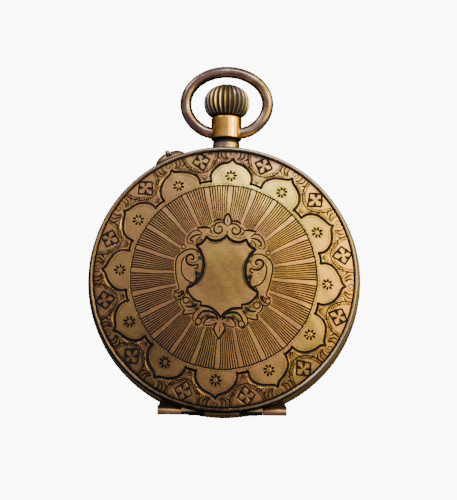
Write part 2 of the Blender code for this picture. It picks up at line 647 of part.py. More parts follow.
def make_winding_wheels():
    ratchet = [saw(RATCHET_R, RATCHET_R - 0.45, 24), circle(0.95, 16)]
    flat("ratchet_wheel", ratchet, 9.48, 9.85, STEEL, BARREL)
    seat = CROWN_WHEEL_R - 0.9
    crown_wheel = flat("crown_wheel", [toothed(CROWN_WHEEL_R, CROWN_WHEEL_R - 0.4, 22),
                                       circle(1.2, 16)], 9.48, 9.85, STEEL, CROWN_WHEEL)  # fmt: skip
    skirt = tube("crown_wheel_skirt", CROWN_WHEEL_R - 0.35, seat, 8.28, 9.6, at=CROWN_WHEEL, steps=16)
    join(crown_wheel, skirt)
    core = [
        (0, 10.0), (1.7, 10.0), (1.7, 9.9), (1.05, 9.9), (1.05, 8.3), (0, 8.3),
    ]  # fmt: skip
    turned("crown_wheel_core", core, STEEL, (*CROWN_WHEEL, 0), steps=16)
    pivot = Vector((-13.6, 8.4))
    nose = BARREL + polar(RATCHET_R + 0.12, 176)
    click = flat("click", [capsule(pivot, nose + Vector((-0.35, 0)), 0.9, 0.22)], 9.48, 9.8, STEEL)
    for vertex in click.data.vertices:
        vertex.co -= Vector((*pivot, 0))
    click.location.xy = pivot
    spring_outline = arc_band(7.15, 7.4, 133, 163, 8)
    spring = flat("click_spring", [spring_outline], 9.48, 9.72, BLUED, BARREL)
    return click, spring


def train_wheel(name, at, tip, teeth, low, high, pinion, arbor, arms=4, look=GILT, outline=None):
    """A wheel on its arbor with its pinion: pinion is (radius, leaves, low, high), and arbor is
    (radius, pivot radius, bottom, top)."""
    shaft, pivot, bottom, top = arbor
    pinion_r, leaves, pinion_low, pinion_high = pinion
    upper, lower = top - 0.86, bottom + 0.35
    profile = [
        (0, top), (pivot, top), (pivot, upper), (shaft, upper), (shaft, lower), (pivot, lower),
        (pivot, bottom), (0, bottom),
    ]  # fmt: skip
    body = turned(name, profile, look, (*at, 0), steps=8)
    rim = tip - 1.1
    wheel_outline = outline or toothed(tip, tip - 0.4, teeth)
    hub = max(shaft + 0.45, tip * 0.16)
    wheel = flat(name + "_rim", [wheel_outline, *windows(hub, rim, arms, 0.32)], low, high, None, at)
    pinion_teeth = toothed(pinion_r, pinion_r * 0.68, leaves)
    return join(body, wheel, flat(name + "_pinion", [pinion_teeth], pinion_low, pinion_high, None, at))


def make_train():
    train_wheel("centre_wheel", CENTRE, CENTRE_R, 36, 5.4, 5.65, (CENTRE_PINION_R, 8, 6.15, 7.2),
                (0.45, 0.3, 1.35, 9.2))  # fmt: skip
    train_wheel("third_wheel", THIRD, THIRD_R, 32, 7.3, 7.5, (THIRD_PINION_R, 8, 5.3, 6.2),
                (0.3, 0.2, 4.9, 9.2))  # fmt: skip
    train_wheel("fourth_wheel", FOURTH, FOURTH_R, 28, 6.4, 6.6, (FOURTH_PINION_R, 7, 7.15, 7.8),
                (0.28, 0.22, 2.45, 9.2))  # fmt: skip
    club = [
        (r * math.cos(FULL * (k + s) / 15), r * math.sin(FULL * (k + s) / 15))
        for k in range(15)
        for r, s in ((ESCAPE_R - 0.7, 0.0), (ESCAPE_R, 0.25), (ESCAPE_R - 0.08, 0.42))
    ]
    train_wheel("escape_wheel", ESCAPE, ESCAPE_R, 15, 7.05, 7.25, (ESCAPE_PINION_R, 6, 6.2, 6.8),
                (0.22, 0.15, 4.9, 8.4), look=STEEL, outline=club)  # fmt: skip


def make_pallet_fork():
    """The lever: two arms towards the escape wheel, and a slotted fork towards the balance roller."""
    way = (BALANCE - PALLET).normalized()
    side = Vector((-way.y, way.x))

    def spot(along, aside):
        return tuple(along * way + aside * side)

    outline = [
        spot(-0.9, -2.5), spot(-0.35, -2.6), spot(0.0, -1.6), spot(0.35, -0.7), spot(1.2, -0.3),
        spot(3.3, -0.22), spot(3.7, -0.55), spot(4.15, -0.5), spot(3.75, -0.14), spot(3.75, 0.14),
        spot(4.15, 0.5), spot(3.7, 0.55), spot(3.3, 0.22), spot(1.2, 0.3), spot(0.35, 0.7), spot(0.0, 1.6),
        spot(-0.35, 2.6), spot(-0.9, 2.5), spot(-0.45, 1.2), spot(-0.5, 0.0), spot(-0.45, -1.2),
    ]  # fmt: skip
    lever = flat("pallet_fork", [outline], 7.05, 7.25, STEEL, PALLET)
    return join(lever, rod("pallet_staff", 0.2, 4.9, 7.65, at=PALLET, steps=8))


def make_balance():
    rim = [circle(BALANCE_R, 36), *windows(0.9, BALANCE_R - 0.6, 2, 0.35, 10)]
    wheel = flat("balance_wheel", [*rim, circle(0.5, 12)], 8.05, 8.6, GILT, BALANCE)
    collar = tube("balance_hub", 0.95, 0.5, 7.95, 8.7, at=BALANCE, steps=16)
    join(wheel, collar)
    staff = [
        (0, 9.75), (0.16, 9.75), (0.16, 9.15), (0.4, 9.05), (0.4, 7.3), (0.8, 7.3), (0.8, 7.05), (0.3, 7.0),
        (0.3, 6.4), (0.16, 6.25), (0.16, 4.9), (0, 4.9),
    ]  # fmt: skip
    turned("balance_staff", staff, STEEL, (*BALANCE, 0), steps=12)
    turns, per_turn, thick = 4, 12, 0.12
    spiral = [
        (0.75 + 2.6 * k / (turns * per_turn), FULL * k / per_turn) for k in range(turns * per_turn + 1)
    ]
    inner = [((r - thick / 2) * math.cos(a), (r - thick / 2) * math.sin(a)) for r, a in spiral]
    outer = [((r + thick / 2) * math.cos(a), (r + thick / 2) * math.sin(a)) for r, a in spiral]
    flat("hairspring", [outer + inner[::-1]], 8.82, 9.02, BLUED, BALANCE)
    index = [capsule((0, 0), (4.6, 0), 1.15, 0.22), circle(0.75, 14)]
    regulator = flat("regulator", index, 9.9, 10.05, STEEL, BALANCE)
    regulator.rotation_euler = (0, 0, math.radians(75))
    rod("cap_jewel_setting", 0.65, 9.9, 10.08, RUBY, BALANCE, steps=16)


def make_keyless_work():
    """Winding pinion and clutch on the stem, and the lever that the setting pin moves."""
    tube("winding_pinion", 1.88, 0.65, 17.75, 19.1, STEEL, z=STEM_Z, turn=ALONG_Y, steps=18)
    clutch = [
        (1.45, 17.6), (1.45, 16.8), (0.9, 16.8), (0.9, 15.8), (1.45, 15.8), (1.45, 15.0), (0.65, 15.0),
        (0.65, 17.6),
    ]  # fmt: skip
    turned("clutch_wheel", clutch, STEEL, (0, 0, STEM_Z), ALONG_Y, 18, ring=True)
    touch = (21.75 - 0.5) * PUSH_WAY.xy
    elbow = Vector((-1.6, 16.32))
    reach = capsule(elbow - LEVER_PIVOT, (0, 0), 0.24, 0.62)
    lever = flat("setting_lever", [reach, circle(0.3, 8)], 7.3, 7.7, STEEL, LEVER_PIVOT)
    arm = flat("setting_lever_arm", [capsule(touch, elbow, 0.42, 0.24)], 7.3, 7.7)
    join(lever, arm)
    return lever


def screw(name, at, head_r, shank_r, bottom, top, head):
    """A slotted screw."""
    profile = [
        (0, top), (head_r, top), (head_r, top - head), (shank_r, top - head), (shank_r, bottom), (0, bottom),
    ]  # fmt: skip
    body = turned(name, profile, BLUED, (*at, 0), steps=12)
    slot = block(name + "_slot", (-head_r - 1, -0.12, top - 0.16), (head_r + 1, 0.12, top + 1))
    slot.location += Vector((*at, 0))
    slot.rotation_euler = (0, 0, 0.7)
    return cut(body, slot)


def make_screws():
    screw("case_screw_right", polar(20.5, 25), 1.1, 0.5, 4.9, 7.5, 0.4)
    screw("case_screw_left", polar(20.5, 235), 1.1, 0.5, 4.9, 7.5, 0.4)
    screw("barrel_bridge_screw", (8.0, 11.4), 0.85, 0.5, 8.95, 9.45, 0.3)
    screw("balance_cock_screw", (-17.0, -0.7), 1.0, 0.5, 9.56, 9.95, 0.3)


make_case_middle()
make_cover_hinge()
make_bezel_hinge()
make_back_cover()
make_cuvette()
make_bezel()
make_crystal()
make_pendant()
make_bow()
make_crown()
make_stem()
make_push()
make_dial()
make_hands()
make_motion_work()
make_main_plate()
make_bridges()
make_barrel()
make_winding_wheels()
make_train()
make_pallet_fork()
make_balance()
make_keyless_work()
make_screws()
bpy.context.view_layer.update()
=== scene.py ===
# %% [markdown]
# # An engraved pocket watch, made as a jeweller would make it
#
# This lesson dresses a finished CAD model of an open-face pocket watch that lies on its
# crystal. The CAD gives every part its place. Here each visible part gets its shape in
# detail and its old metal. Read it from top to bottom: a cell of words comes before each
# cell of code, and says what the piece is on the real watch and why it is made this way.

import math
import random

import bpy
import numpy as np
from mathutils import Matrix, Vector
from mathutils.geometry import delaunay_2d_cdt
from mathutils.kdtree import KDTree


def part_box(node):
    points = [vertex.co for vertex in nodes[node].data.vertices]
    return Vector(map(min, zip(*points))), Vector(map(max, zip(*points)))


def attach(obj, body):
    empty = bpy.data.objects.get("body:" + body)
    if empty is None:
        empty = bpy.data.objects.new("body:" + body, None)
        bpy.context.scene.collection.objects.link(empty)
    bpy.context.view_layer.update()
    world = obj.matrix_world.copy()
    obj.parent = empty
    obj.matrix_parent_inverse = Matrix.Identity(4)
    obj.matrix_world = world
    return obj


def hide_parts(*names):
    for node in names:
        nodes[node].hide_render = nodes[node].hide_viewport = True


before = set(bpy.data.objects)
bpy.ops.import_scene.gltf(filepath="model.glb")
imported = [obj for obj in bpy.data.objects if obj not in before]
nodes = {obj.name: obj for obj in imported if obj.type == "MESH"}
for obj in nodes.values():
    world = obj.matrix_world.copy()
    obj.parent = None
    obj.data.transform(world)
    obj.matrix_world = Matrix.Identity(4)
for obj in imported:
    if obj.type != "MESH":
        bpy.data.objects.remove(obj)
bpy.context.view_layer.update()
MM = 0.001
FULL = 2 * math.pi

# %% [markdown]
# ## Camera, floor and light
# A watch is drawn for a catalogue from almost straight above with a long lens, so that the
# round case stays round. The camera leans back a little towards the hinge side, which
# lifts the lid against the band. The floor is plain and pale. Polished metal shows what
# stands round it, so the room matters more than the lamps: it is bright behind the pendant
# and to the right, and dim to the lower left. Four soft boxes add the long highlights.

# %% Camera
LENS, SENSOR = 120.0, 24.0  # millimetres
VIEW_HEIGHT = 91.48 * MM  # how much of the floor the frame takes in
CASE_CENTRE = Vector((0, 0, 9.0 * MM))
TOWARDS_CAMERA = Vector((0.0215, -0.1894, 1.0)).normalized()
ROLL = math.radians(0.8)  # how far the watch leans clockwise
AIM_RIGHT, AIM_UP = 0.84 * MM, 5.49 * MM  # the middle of the frame, from the case's centre


def make_camera():
    distance = VIEW_HEIGHT * LENS / SENSOR
    level = Matrix.Rotation(ROLL, 3, TOWARDS_CAMERA) @ Vector((0, 1, 0))
    right = level.cross(TOWARDS_CAMERA).normalized()
    up = TOWARDS_CAMERA.cross(right)
    target = CASE_CENTRE + AIM_RIGHT * right + AIM_UP * up
    lens = bpy.data.cameras.new("watch_camera")
    lens.lens, lens.sensor_fit, lens.sensor_height = LENS, "VERTICAL", SENSOR
    lens.clip_start, lens.clip_end = 0.01, 20
    camera = bpy.data.objects.new("watch_camera", lens)
    bpy.context.collection.objects.link(camera)
    turn = Matrix((right, up, TOWARDS_CAMERA)).transposed().to_4x4()
    camera.matrix_world = Matrix.Translation(target + distance * TOWARDS_CAMERA) @ turn
    bpy.context.scene.camera = camera
    print("camera at", [round(v / MM, 1) for v in camera.matrix_world.translation], "mm")


make_camera()

# %% [markdown]
# Materials and the room are built from shader nodes. `node` adds one node, and each of its
# inputs is given either a plain value or the output of another node.


# %% Nodes and materials
def node(tree, kind, inputs=(), **settings):
    made = tree.nodes.new(kind)
    for key, value in settings.items():
        setattr(made, key, value)
    for key, value in dict(inputs).items():
        if isinstance(value, bpy.types.NodeSocket):
            tree.links.new(value, made.inputs[key])
        else:
            made.inputs[key].default_value = value
    return made


def new_material(name, **plain):
    """A material, its tree, its Principled shader and that shader's inputs that stay plain."""
    material = bpy.data.materials.new(name)
    material.use_nodes = True
    shader = material.node_tree.nodes["Principled BSDF"]
    for label, value in plain.items():
        shader.inputs[label.replace("_", " ")].default_value = value
    return material, material.node_tree, shader


# %% Floor
GLOW = 10.0  # the floor and the room are lit until the camera sees them white
FLOOR_Z = -0.02 * MM  # a hair below the crystal, so that the two faces do not coincide
bpy.ops.mesh.primitive_plane_add(size=6, location=(0, 0, FLOOR_Z))
floor = bpy.context.object
floor.name = "floor"
pale, tree, shader = new_material(
    "pale_floor", Base_Color=(0.06, 0.06, 0.06, 1), Roughness=0.9, Emission_Strength=GLOW
)
tree.links.new(node(tree, "ShaderNodeLightPath").outputs["Is Camera Ray"], shader.inputs["Emission Color"])
floor.data.materials.append(pale)
print("floor at", round(FLOOR_Z / MM, 3), "mm")

# %% [markdown]
# The room is what the metal mirrors. It could be built from white boards, but a smooth
# world without edges is quicker and leaves no hard shapes in the metal. Each side of the
# room has a colour and a direction. The nearer one looks to this direction, the brighter
# it is: between the first two numbers, which are cosines, the light rises from the third
# number to the fourth.

# %% The room
ROOM = (
    ((1.0, 1.0, 1.3, 1), (0.15, 0.85, 0.5), 0.2, 0.9, 0.27, 0.62),
    ((1.0, 0.84, 0.07, 1), (0.75, 0.35, 0.56), 0.74, 0.92, 0.0, 4.0),
)
world = bpy.data.worlds.new("studio")
bpy.context.scene.world = world
world.use_nodes = True
tree = world.node_tree
plain = tree.nodes["Background"]
plain.inputs["Strength"].default_value = GLOW
plain.inputs["Color"].default_value = (1, 1, 1, 1)
way = node(tree, "ShaderNodeTexCoord").outputs["Generated"]
room = node(tree, "ShaderNodeAddShader")
for place, (colour, side, low, high, dark, light) in enumerate(ROOM):
    direction = Vector(side).normalized()
    near = node(tree, "ShaderNodeVectorMath", {0: way, 1: direction}, operation="DOT_PRODUCT").outputs["Value"]
    rise = {0: near, 1: low, 2: high, 3: dark, 4: light}
    light_here = node(tree, "ShaderNodeMapRange", rise, interpolation_type="SMOOTHSTEP").outputs[0]
    glow = node(tree, "ShaderNodeBackground", {"Color": colour, "Strength": light_here})
    tree.links.new(glow.outputs[0], room.inputs[place])
seen = node(tree, "ShaderNodeLightPath").outputs["Is Camera Ray"]
choose = node(tree, "ShaderNodeMixShader", {0: seen, 1: room.outputs[0], 2: plain.outputs[0]})
tree.links.new(choose.outputs[0], tree.nodes["World Output"].inputs["Surface"])
print("sides of the room:", len(ROOM))

# %% [markdown]
# Each soft box is a round area lamp that looks at the middle of the case. A small lamp
# would leave a hard spot on polished metal, and a wide one gives a long soft highlight.

# %% Soft boxes
AIM = Vector((0, 0, 0.01))


def soft_box(name, place, size, power, colour):
    lamp = bpy.data.lights.new(name, "AREA")
    lamp.shape, lamp.size, lamp.energy, lamp.color = "DISK", size, power, colour
    box = bpy.data.objects.new(name, lamp)
    bpy.context.collection.objects.link(box)
    box.location = place
    box.rotation_euler = (AIM - Vector(place)).to_track_quat("-Z", "Y").to_euler()
    print(name, "at", place)


soft_box("box_behind_pendant", (0.08, 0.43, 0.50), 0.22, 0.8, (0.93, 1.0, 1.1))
soft_box("box_right", (0.42, 0.20, 0.36), 0.14, 0.6, (1.0, 0.90, 0.7))
soft_box("box_low_right", (0.126, -0.107, 0.726), 0.2, 0.07, (1.0, 0.9, 0.7))
soft_box("box_low_left", (-0.29, 0.37, 0.20), 0.16, 0.5, (1.0, 0.95, 0.97))

# %% [markdown]
# ## Helpers for modelling
# Each operator acts on everything that is selected, so `only` selects one thing first.
# `finish` puts the place of a piece into its mesh, shades it, and lets it ride on its body.


# %% Helpers
def deselect():
    if bpy.context.mode != "OBJECT":
        bpy.ops.object.mode_set(mode="OBJECT")
    bpy.ops.object.select_all(action="DESELECT")


def only(item):
    deselect()
    item.select_set(True)
    bpy.context.view_layer.objects.active = item


def named(name):
    """The primitive that was just added, under its own name."""
    item = bpy.context.object
    item.name = item.data.name = name
    return item


def edit_all(item):
    """Goes to edit mode with the whole mesh selected."""
    only(item)
    bpy.ops.object.mode_set(mode="EDIT")
    bpy.ops.mesh.select_all(action="SELECT")


def face_outwards():
    """Turns every face of the mesh in edit mode outwards, and goes back to object mode."""
    bpy.ops.mesh.select_all(action="SELECT")
    bpy.ops.mesh.normals_make_consistent(inside=False)
    bpy.ops.object.mode_set(mode="OBJECT")


def turn_mesh(item, angle, shift=(0, 0)):
    """Turns the mesh about the Z axis, anticlockwise from above, and shifts it by millimetres.
    With no window, transform.rotate turns the other way."""
    edit_all(item)
    bpy.ops.transform.rotate(value=-angle, orient_axis="Z", center_override=(0, 0, 0))
    bpy.ops.transform.translate(value=(shift[0] * MM, shift[1] * MM, 0))
    bpy.ops.object.mode_set(mode="OBJECT")


def apply_modifiers(item):
    only(item)
    for modifier in list(item.modifiers):
        bpy.ops.object.modifier_apply(modifier=modifier.name)


def finish(item, body, material, stands_for=(), angle=30):
    """Applies place and modifiers, shades, gives the material and lets the piece ride."""
    apply_modifiers(item)
    bpy.ops.object.transform_apply(location=True, rotation=True, scale=True)
    if angle:
        bpy.ops.object.shade_smooth_by_angle(angle=math.radians(angle))
    item.data.materials.clear()
    item.data.materials.append(material)
    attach(item, body)
    if stands_for:
        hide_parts(*stands_for)
    print(item.name, "rides on", body, "and has", len(item.data.polygons), "faces")


def second_material(item, material, test):
    """Gives a second material to the faces whose centre, x, y and z in mm, passes the test."""
    item.data.materials.append(material)
    for face in item.data.polygons:
        face.material_index = int(test(*(face.center / MM)))


# %% [markdown]
# ## Old metal as a shader group
# The case is brass with a worn gilding: golden where hands rubbed it, coppery in sheltered
# places, and black in the cuts. All the metals share one node group. It mixes two metal
# colours in soft patches, adds fine grain and small scratches, and darkens it where dirt and
# painted shade lie. It puts out a colour, a roughness and a height for a Bump node.


# %% Node helpers
def maths(tree, operation, first, second, clamp=False):
    return node(tree, "ShaderNodeMath", {0: first, 1: second}, operation=operation, use_clamp=clamp).outputs[0]


def blend_colour(tree, share, first, second):
    return node(tree, "ShaderNodeMix", {0: share, 6: first, 7: second}, data_type="RGBA").outputs[2]


def stretch(tree, value, low, high, to_low=0.0, to_high=1.0):
    return node(tree, "ShaderNodeMapRange", {0: value, 1: low, 2: high, 3: to_low, 4: to_high}).outputs[0]


def noise(tree, place, scale, detail=3.0, distortion=0.0):
    inputs = {"Vector": place, "Scale": scale, "Detail": detail, "Distortion": distortion}
    return node(tree, "ShaderNodeTexNoise", inputs).outputs["Fac"]


def object_place(tree):
    return node(tree, "ShaderNodeTexCoord").outputs["Object"]


def shader_group(name, inputs, outputs):
    """An empty group, with the sockets inside it. inputs and outputs give each label its kind."""
    tree = bpy.data.node_groups.new(name, "ShaderNodeTree")
    for way, sockets in (("INPUT", inputs), ("OUTPUT", outputs)):
        for label, kind in sockets.items():
            tree.interface.new_socket(label, in_out=way, socket_type="NodeSocket" + kind)
    return tree, node(tree, "NodeGroupInput").outputs, node(tree, "NodeGroupOutput").inputs


# %% The group of old metal
def make_old_metal():
    inputs = dict.fromkeys(("Bright", "Warm", "Hollow"), "Color")
    inputs |= dict.fromkeys(("Dirt And Shade", "Warmth", "Patch Scale", "Grain", "Polish"), "Float")
    outputs = {"Colour": "Color", "Roughness": "Float", "Height": "Float"}
    tree, given, out = shader_group("old_metal", inputs, outputs)
    place = object_place(tree)
    patches = noise(tree, place, given["Patch Scale"], 4.0, 0.6)
    blotches = noise(tree, place, 1100.0)
    grain = noise(tree, place, 5200.0, 2.0)
    brushing = {"Vector": place, "Scale": (1.0, 14.0, 6.0), "Rotation": (0, 0, 0.6)}
    scratches = noise(tree, node(tree, "ShaderNodeMapping", brushing).outputs[0], 900.0, 5.0, 0.4)
    # gilding, with coppery patches and blotches in it and a fine uneven tone
    share = maths(tree, "ADD", given["Warmth"], stretch(tree, patches, 0.35, 0.65, -0.35, 0.35), True)
    gilding = blend_colour(tree, share, given["Bright"], given["Warm"])
    spots = maths(tree, "MULTIPLY", stretch(tree, blotches, 0.42, 0.30, 0.0, 0.45), given["Grain"])
    gilding = blend_colour(tree, spots, gilding, given["Warm"])
    tone = stretch(tree, grain, 0.3, 0.7, 0.84, 1.14)
    toned = node(tree, "ShaderNodeVectorMath", {0: gilding, 1: tone}, operation="MULTIPLY").outputs[0]
    # dirt and painted shade, with a ragged edge, lie over it
    ragged = maths(tree, "MULTIPLY", given["Dirt And Shade"], stretch(tree, blotches, 0.3, 0.7, 0.85, 1.15), True)
    colour = blend_colour(tree, stretch(tree, ragged, 0.1, 0.5), toned, given["Hollow"])
    rough = maths(tree, "ADD", given["Polish"], stretch(tree, scratches, 0.3, 0.7, -0.05, 0.12))
    rough = maths(tree, "ADD", rough, maths(tree, "MULTIPLY", given["Dirt And Shade"], 0.35), True)
    height = maths(tree, "ADD", maths(tree, "MULTIPLY", grain, given["Grain"]), scratches)
    for label, value in (("Colour", colour), ("Roughness", rough), ("Height", height)):
        tree.links.new(value, out[label])
    return tree


OLD_METAL = make_old_metal()
print("nodes in the group:", len(OLD_METAL.nodes))

# %% [markdown]
# Each metal of the watch is then a material that uses the group with its own colours and
# wear. A mesh can store its own dirt and painted shade, and its own warmth with painted
# highlight, and so tell the group where they lie. On plainer pieces ambient occlusion paints
# shade into the corners that see little of the room.

# %% One metal
BUMP_HEIGHT = 0.04 * MM


def metal(name, bright, warm, hollow, dirt=0.0, warmth=0.3, patch=150.0, grain=0.5, polish=0.34,
          bump=0.12, shade_reach=0.0, edge=None, attribute=None, warmth_and_highlight_attribute=None):  # fmt: skip
    """A material from the old metal group. Ambient occlusion, with the reach given, paints shade
    into inner corners, edge is the tint of glancing light, and attributes of the mesh can
    carry the dirt and painted shade, and the warmth with painted highlight, of each place."""
    material, tree, shader = new_material(name, Metallic=1.0)
    values = {
        "Bright": (*bright, 1), "Warm": (*warm, 1), "Hollow": (*hollow, 1), "Dirt And Shade": dirt,
        "Warmth": warmth, "Patch Scale": patch, "Grain": grain, "Polish": polish,
    }  # fmt: skip
    old = node(tree, "ShaderNodeGroup", node_tree=OLD_METAL)
    for label, value in values.items():
        old.inputs[label].default_value = value

    def more_here(label, everywhere):
        """What the mesh stores at this place, on top of the amount everywhere."""
        here = node(tree, "ShaderNodeAttribute", attribute_name=label).outputs["Fac"]
        return maths(tree, "ADD", here, everywhere, True)

    dirt_and_shade = more_here(attribute, dirt) if attribute else None
    if shade_reach:
        painted_shade = node(tree, "ShaderNodeAmbientOcclusion", {"Distance": shade_reach}, samples=6).outputs["AO"]
        painted_shade = stretch(tree, painted_shade, 0.75, 0.25, dirt, 1.0)
        dirt_and_shade = maths(tree, "MAXIMUM", dirt_and_shade, painted_shade) if dirt_and_shade else painted_shade
    if dirt_and_shade:
        tree.links.new(dirt_and_shade, old.inputs["Dirt And Shade"])
    if warmth_and_highlight_attribute:
        tree.links.new(more_here(warmth_and_highlight_attribute, warmth), old.inputs["Warmth"])
    uneven = {"Strength": bump, "Distance": BUMP_HEIGHT, "Height": old.outputs["Height"]}
    tree.links.new(old.outputs["Colour"], shader.inputs["Base Color"])
    tree.links.new(old.outputs["Roughness"], shader.inputs["Roughness"])
    tree.links.new(node(tree, "ShaderNodeBump", uneven).outputs[0], shader.inputs["Normal"])
    if edge:
        shader.inputs["Specular Tint"].default_value = (*edge, 1)
    return material


# %% The metals of this watch
# The third colour of each metal is that of its dirt and of its painted shade; metals given a reach get painted
# shade from ambient occlusion in their inner corners
GOLD, COPPER, SOOT_AND_SHADE = (0.62, 0.44, 0.08), (0.62, 0.305, 0.118), (0.026, 0.023, 0.027)
lid_metal = metal("engraved_lid_brass", GOLD, COPPER, SOOT_AND_SHADE, warmth=0.0, polish=0.21, patch=150.0, bump=0.09,
                  attribute="dirt_and_shade", warmth_and_highlight_attribute="warmth")  # fmt: skip
rim_metal = metal("rim_brass", (0.76, 0.57, 0.44), (0.6, 0.42, 0.31), SOOT_AND_SHADE, warmth=0.3, polish=0.2, patch=320.0,
                  bump=0.09, attribute="dirt_and_shade")  # fmt: skip
collar_brass = metal("collar_brass", (0.6, 0.4, 0.24), (0.46, 0.28, 0.17), SOOT_AND_SHADE, warmth=0.3, polish=0.2,
                     patch=320.0, bump=0.09, attribute="dirt_and_shade")  # fmt: skip
plain_brass = metal("worn_case_brass", (0.55, 0.36, 0.15), (0.40, 0.21, 0.09), SOOT_AND_SHADE, dirt=0.04, warmth=0.35,
                    shade_reach=0.0008)  # fmt: skip
sleeve_brass = metal("rubbed_pendant_gold", (1.0, 0.57, 0.08), (0.97, 0.45, 0.09), SOOT_AND_SHADE, dirt=0.01, warmth=0.5,
                     patch=320.0, polish=0.13, edge=(0.85, 0.6, 0.4), attribute="dirt_and_shade")  # fmt: skip
# the bow: its bright colour shows as the painted highlight along the wire's crown and on its golden lower right
bronze = metal("dark_worn_bronze", (0.95, 0.70, 0.45), (0.26, 0.15, 0.11), SOOT_AND_SHADE, dirt=0.02, warmth=0.0,
               patch=260.0, polish=0.15, bump=0.08, edge=(0.5, 0.36, 0.27), attribute="dirt_and_shade",
               warmth_and_highlight_attribute="warmth")  # fmt: skip
rib_bronze = metal("rubbed_crown_bronze", (0.98, 0.72, 0.47), (0.74, 0.48, 0.30), (0.07, 0.05, 0.038),
                   dirt=0.02, warmth=0.3, patch=320.0, polish=0.22, edge=(0.2, 0.14, 0.1),
                   attribute="dirt_and_shade")  # fmt: skip
# the guard and the pin: darker brass, and wide ambient occlusion paints a shadow where the guard meets the band
grime_and_shade_brass = metal("grime_and_shade_brass", (0.40, 0.26, 0.14), (0.22, 0.125, 0.08), SOOT_AND_SHADE, dirt=0.16, warmth=0.5,
                    patch=320.0, shade_reach=0.0016)  # fmt: skip
inner_brass = metal("inner_case_gilding", (0.62, 0.43, 0.17), (0.5, 0.3, 0.13), SOOT_AND_SHADE, warmth=0.2, polish=0.16,
                    grain=0.2, bump=0.05, shade_reach=0.0006)  # fmt: skip
gilt = metal("movement_gilding", (0.68, 0.48, 0.2), (0.55, 0.36, 0.15), SOOT_AND_SHADE, warmth=0.2, polish=0.32,
             grain=0.8, patch=300.0, bump=0.2, shade_reach=0.0004)  # fmt: skip
steel = metal("polished_steel", (0.55, 0.55, 0.54), (0.42, 0.40, 0.37), (0.05, 0.045, 0.04), warmth=0.2,
              polish=0.22, grain=0.3, patch=400.0, bump=0.06, shade_reach=0.0003)  # fmt: skip
blued = metal("blued_steel", (0.03, 0.05, 0.22), (0.02, 0.02, 0.09), (0.01, 0.01, 0.02), warmth=0.2,
              polish=0.18, grain=0.2, patch=400.0, bump=0.04)  # fmt: skip
print("materials so far:", [material.name for material in bpy.data.materials])


# %% [markdown]
# ## The engraved back
# The back is a thin domed disc that an engraver covered by hand: a shield among scrolls in
# the middle, rays cut with a ruler, twelve petals with a small flower punched in each, and
# between the petals and the rim a ring of diamonds and leaves. Bump alone would leave it
# flat in the exported mesh, so every stroke of the graver is cut into the surface. Moving
# the faces of a grid would need millions of them. Instead the strokes are drawn as curves,
# the surface is triangulated with both edges and the bottom of every stroke as edges, and
# each vertex is then lowered by its depth. A stroke has a centre line, half widths and a
# depth, in millimetres, in a plane where the engraving stands upright.

# %% Strokes
LID_APEX, LID_DOME_R = 14.0, 95.0  # height and radius of the dome, in mm
# radii in mm: the circle round the rays, the base of the petals, their flowers, the middle of
# the diamonds and the edge of the engraving
FIELD_R, PETAL_BASE_R, FLOWER_R, DIAMOND_R, RIM_R = 16.95, 17.75, 18.92, 22.15, 24.0
TILT = math.radians(-3.5)  # the engraver set the pattern a little clockwise of the pendant
strokes = []
rng = random.Random(11)


def spline(points, spacing=0.32):
    """A smooth curve through the points, in short steps. Two points give a straight line."""
    p = np.array(points, float)
    if len(p) == 2:
        steps = max(2, math.ceil(np.linalg.norm(p[1] - p[0]) / 1.1))
        share = np.linspace(0, 1, steps + 1)[:, None]
        return p[0] * (1 - share) + p[1] * share
    ends = np.vstack([2 * p[0] - p[1], p, 2 * p[-1] - p[-2]])
    found = []
    for a, b, c, d in zip(ends, ends[1:], ends[2:], ends[3:]):
        steps = max(1, math.ceil(np.linalg.norm(c - b) / spacing))
        for t in np.arange(steps) / steps:
            bend, twist = 2 * a - 5 * b + 4 * c - d, 3 * b - a - 3 * c + d
            found.append(0.5 * (2 * b + (c - a) * t + bend * t**2 + twist * t**3))
    return np.array([*found, p[-1]])


def stroke(points, half, depth, taper=0.5, dark=1.0, spacing=0.32, swell=None):
    """Cuts one stroke. half is half its width, and taper the width at its ends as a share of
    the widest. dark is how much dirt it holds. A stroke is widest in its middle, or for
    drops where swell says, as a share of its length."""
    line = spline(points, spacing)
    along = np.linspace(0, 1, len(line))
    if swell is None:
        fullness = np.sin(np.pi * along) ** 0.6
    else:
        fullness = np.clip(1 - np.abs(along - swell) / max(swell, 1 - swell), 0, 1) ** 0.7
    strokes.append((line, half * (taper + (1 - taper) * fullness), depth, dark))


def mirrored(points, *args, **kwargs):
    stroke(points, *args, **kwargs)
    stroke([(-x, y) for x, y in points], *args, **kwargs)


def ball(x, y, r, half=0.07, depth=0.07):
    """A small ring, on both sides of the middle line."""
    for side in (-1, 1):
        ring = [(side * x + r * math.cos(a), y + r * math.sin(a)) for a in np.linspace(0, FULL, 11)]
        stroke(ring, half, depth, taper=1.0, spacing=9)


# %% [markdown]
# ### The shield and its scrolls
# The shield is left plain, for an owner's initials that nobody cut. Heavy shaded strokes
# stand round it, and scrolls, leaves and little balls fill the space to the rays. The left
# half mirrors the right one. The pairs of numbers are places, and the two numbers after
# them are a stroke's half width and depth.

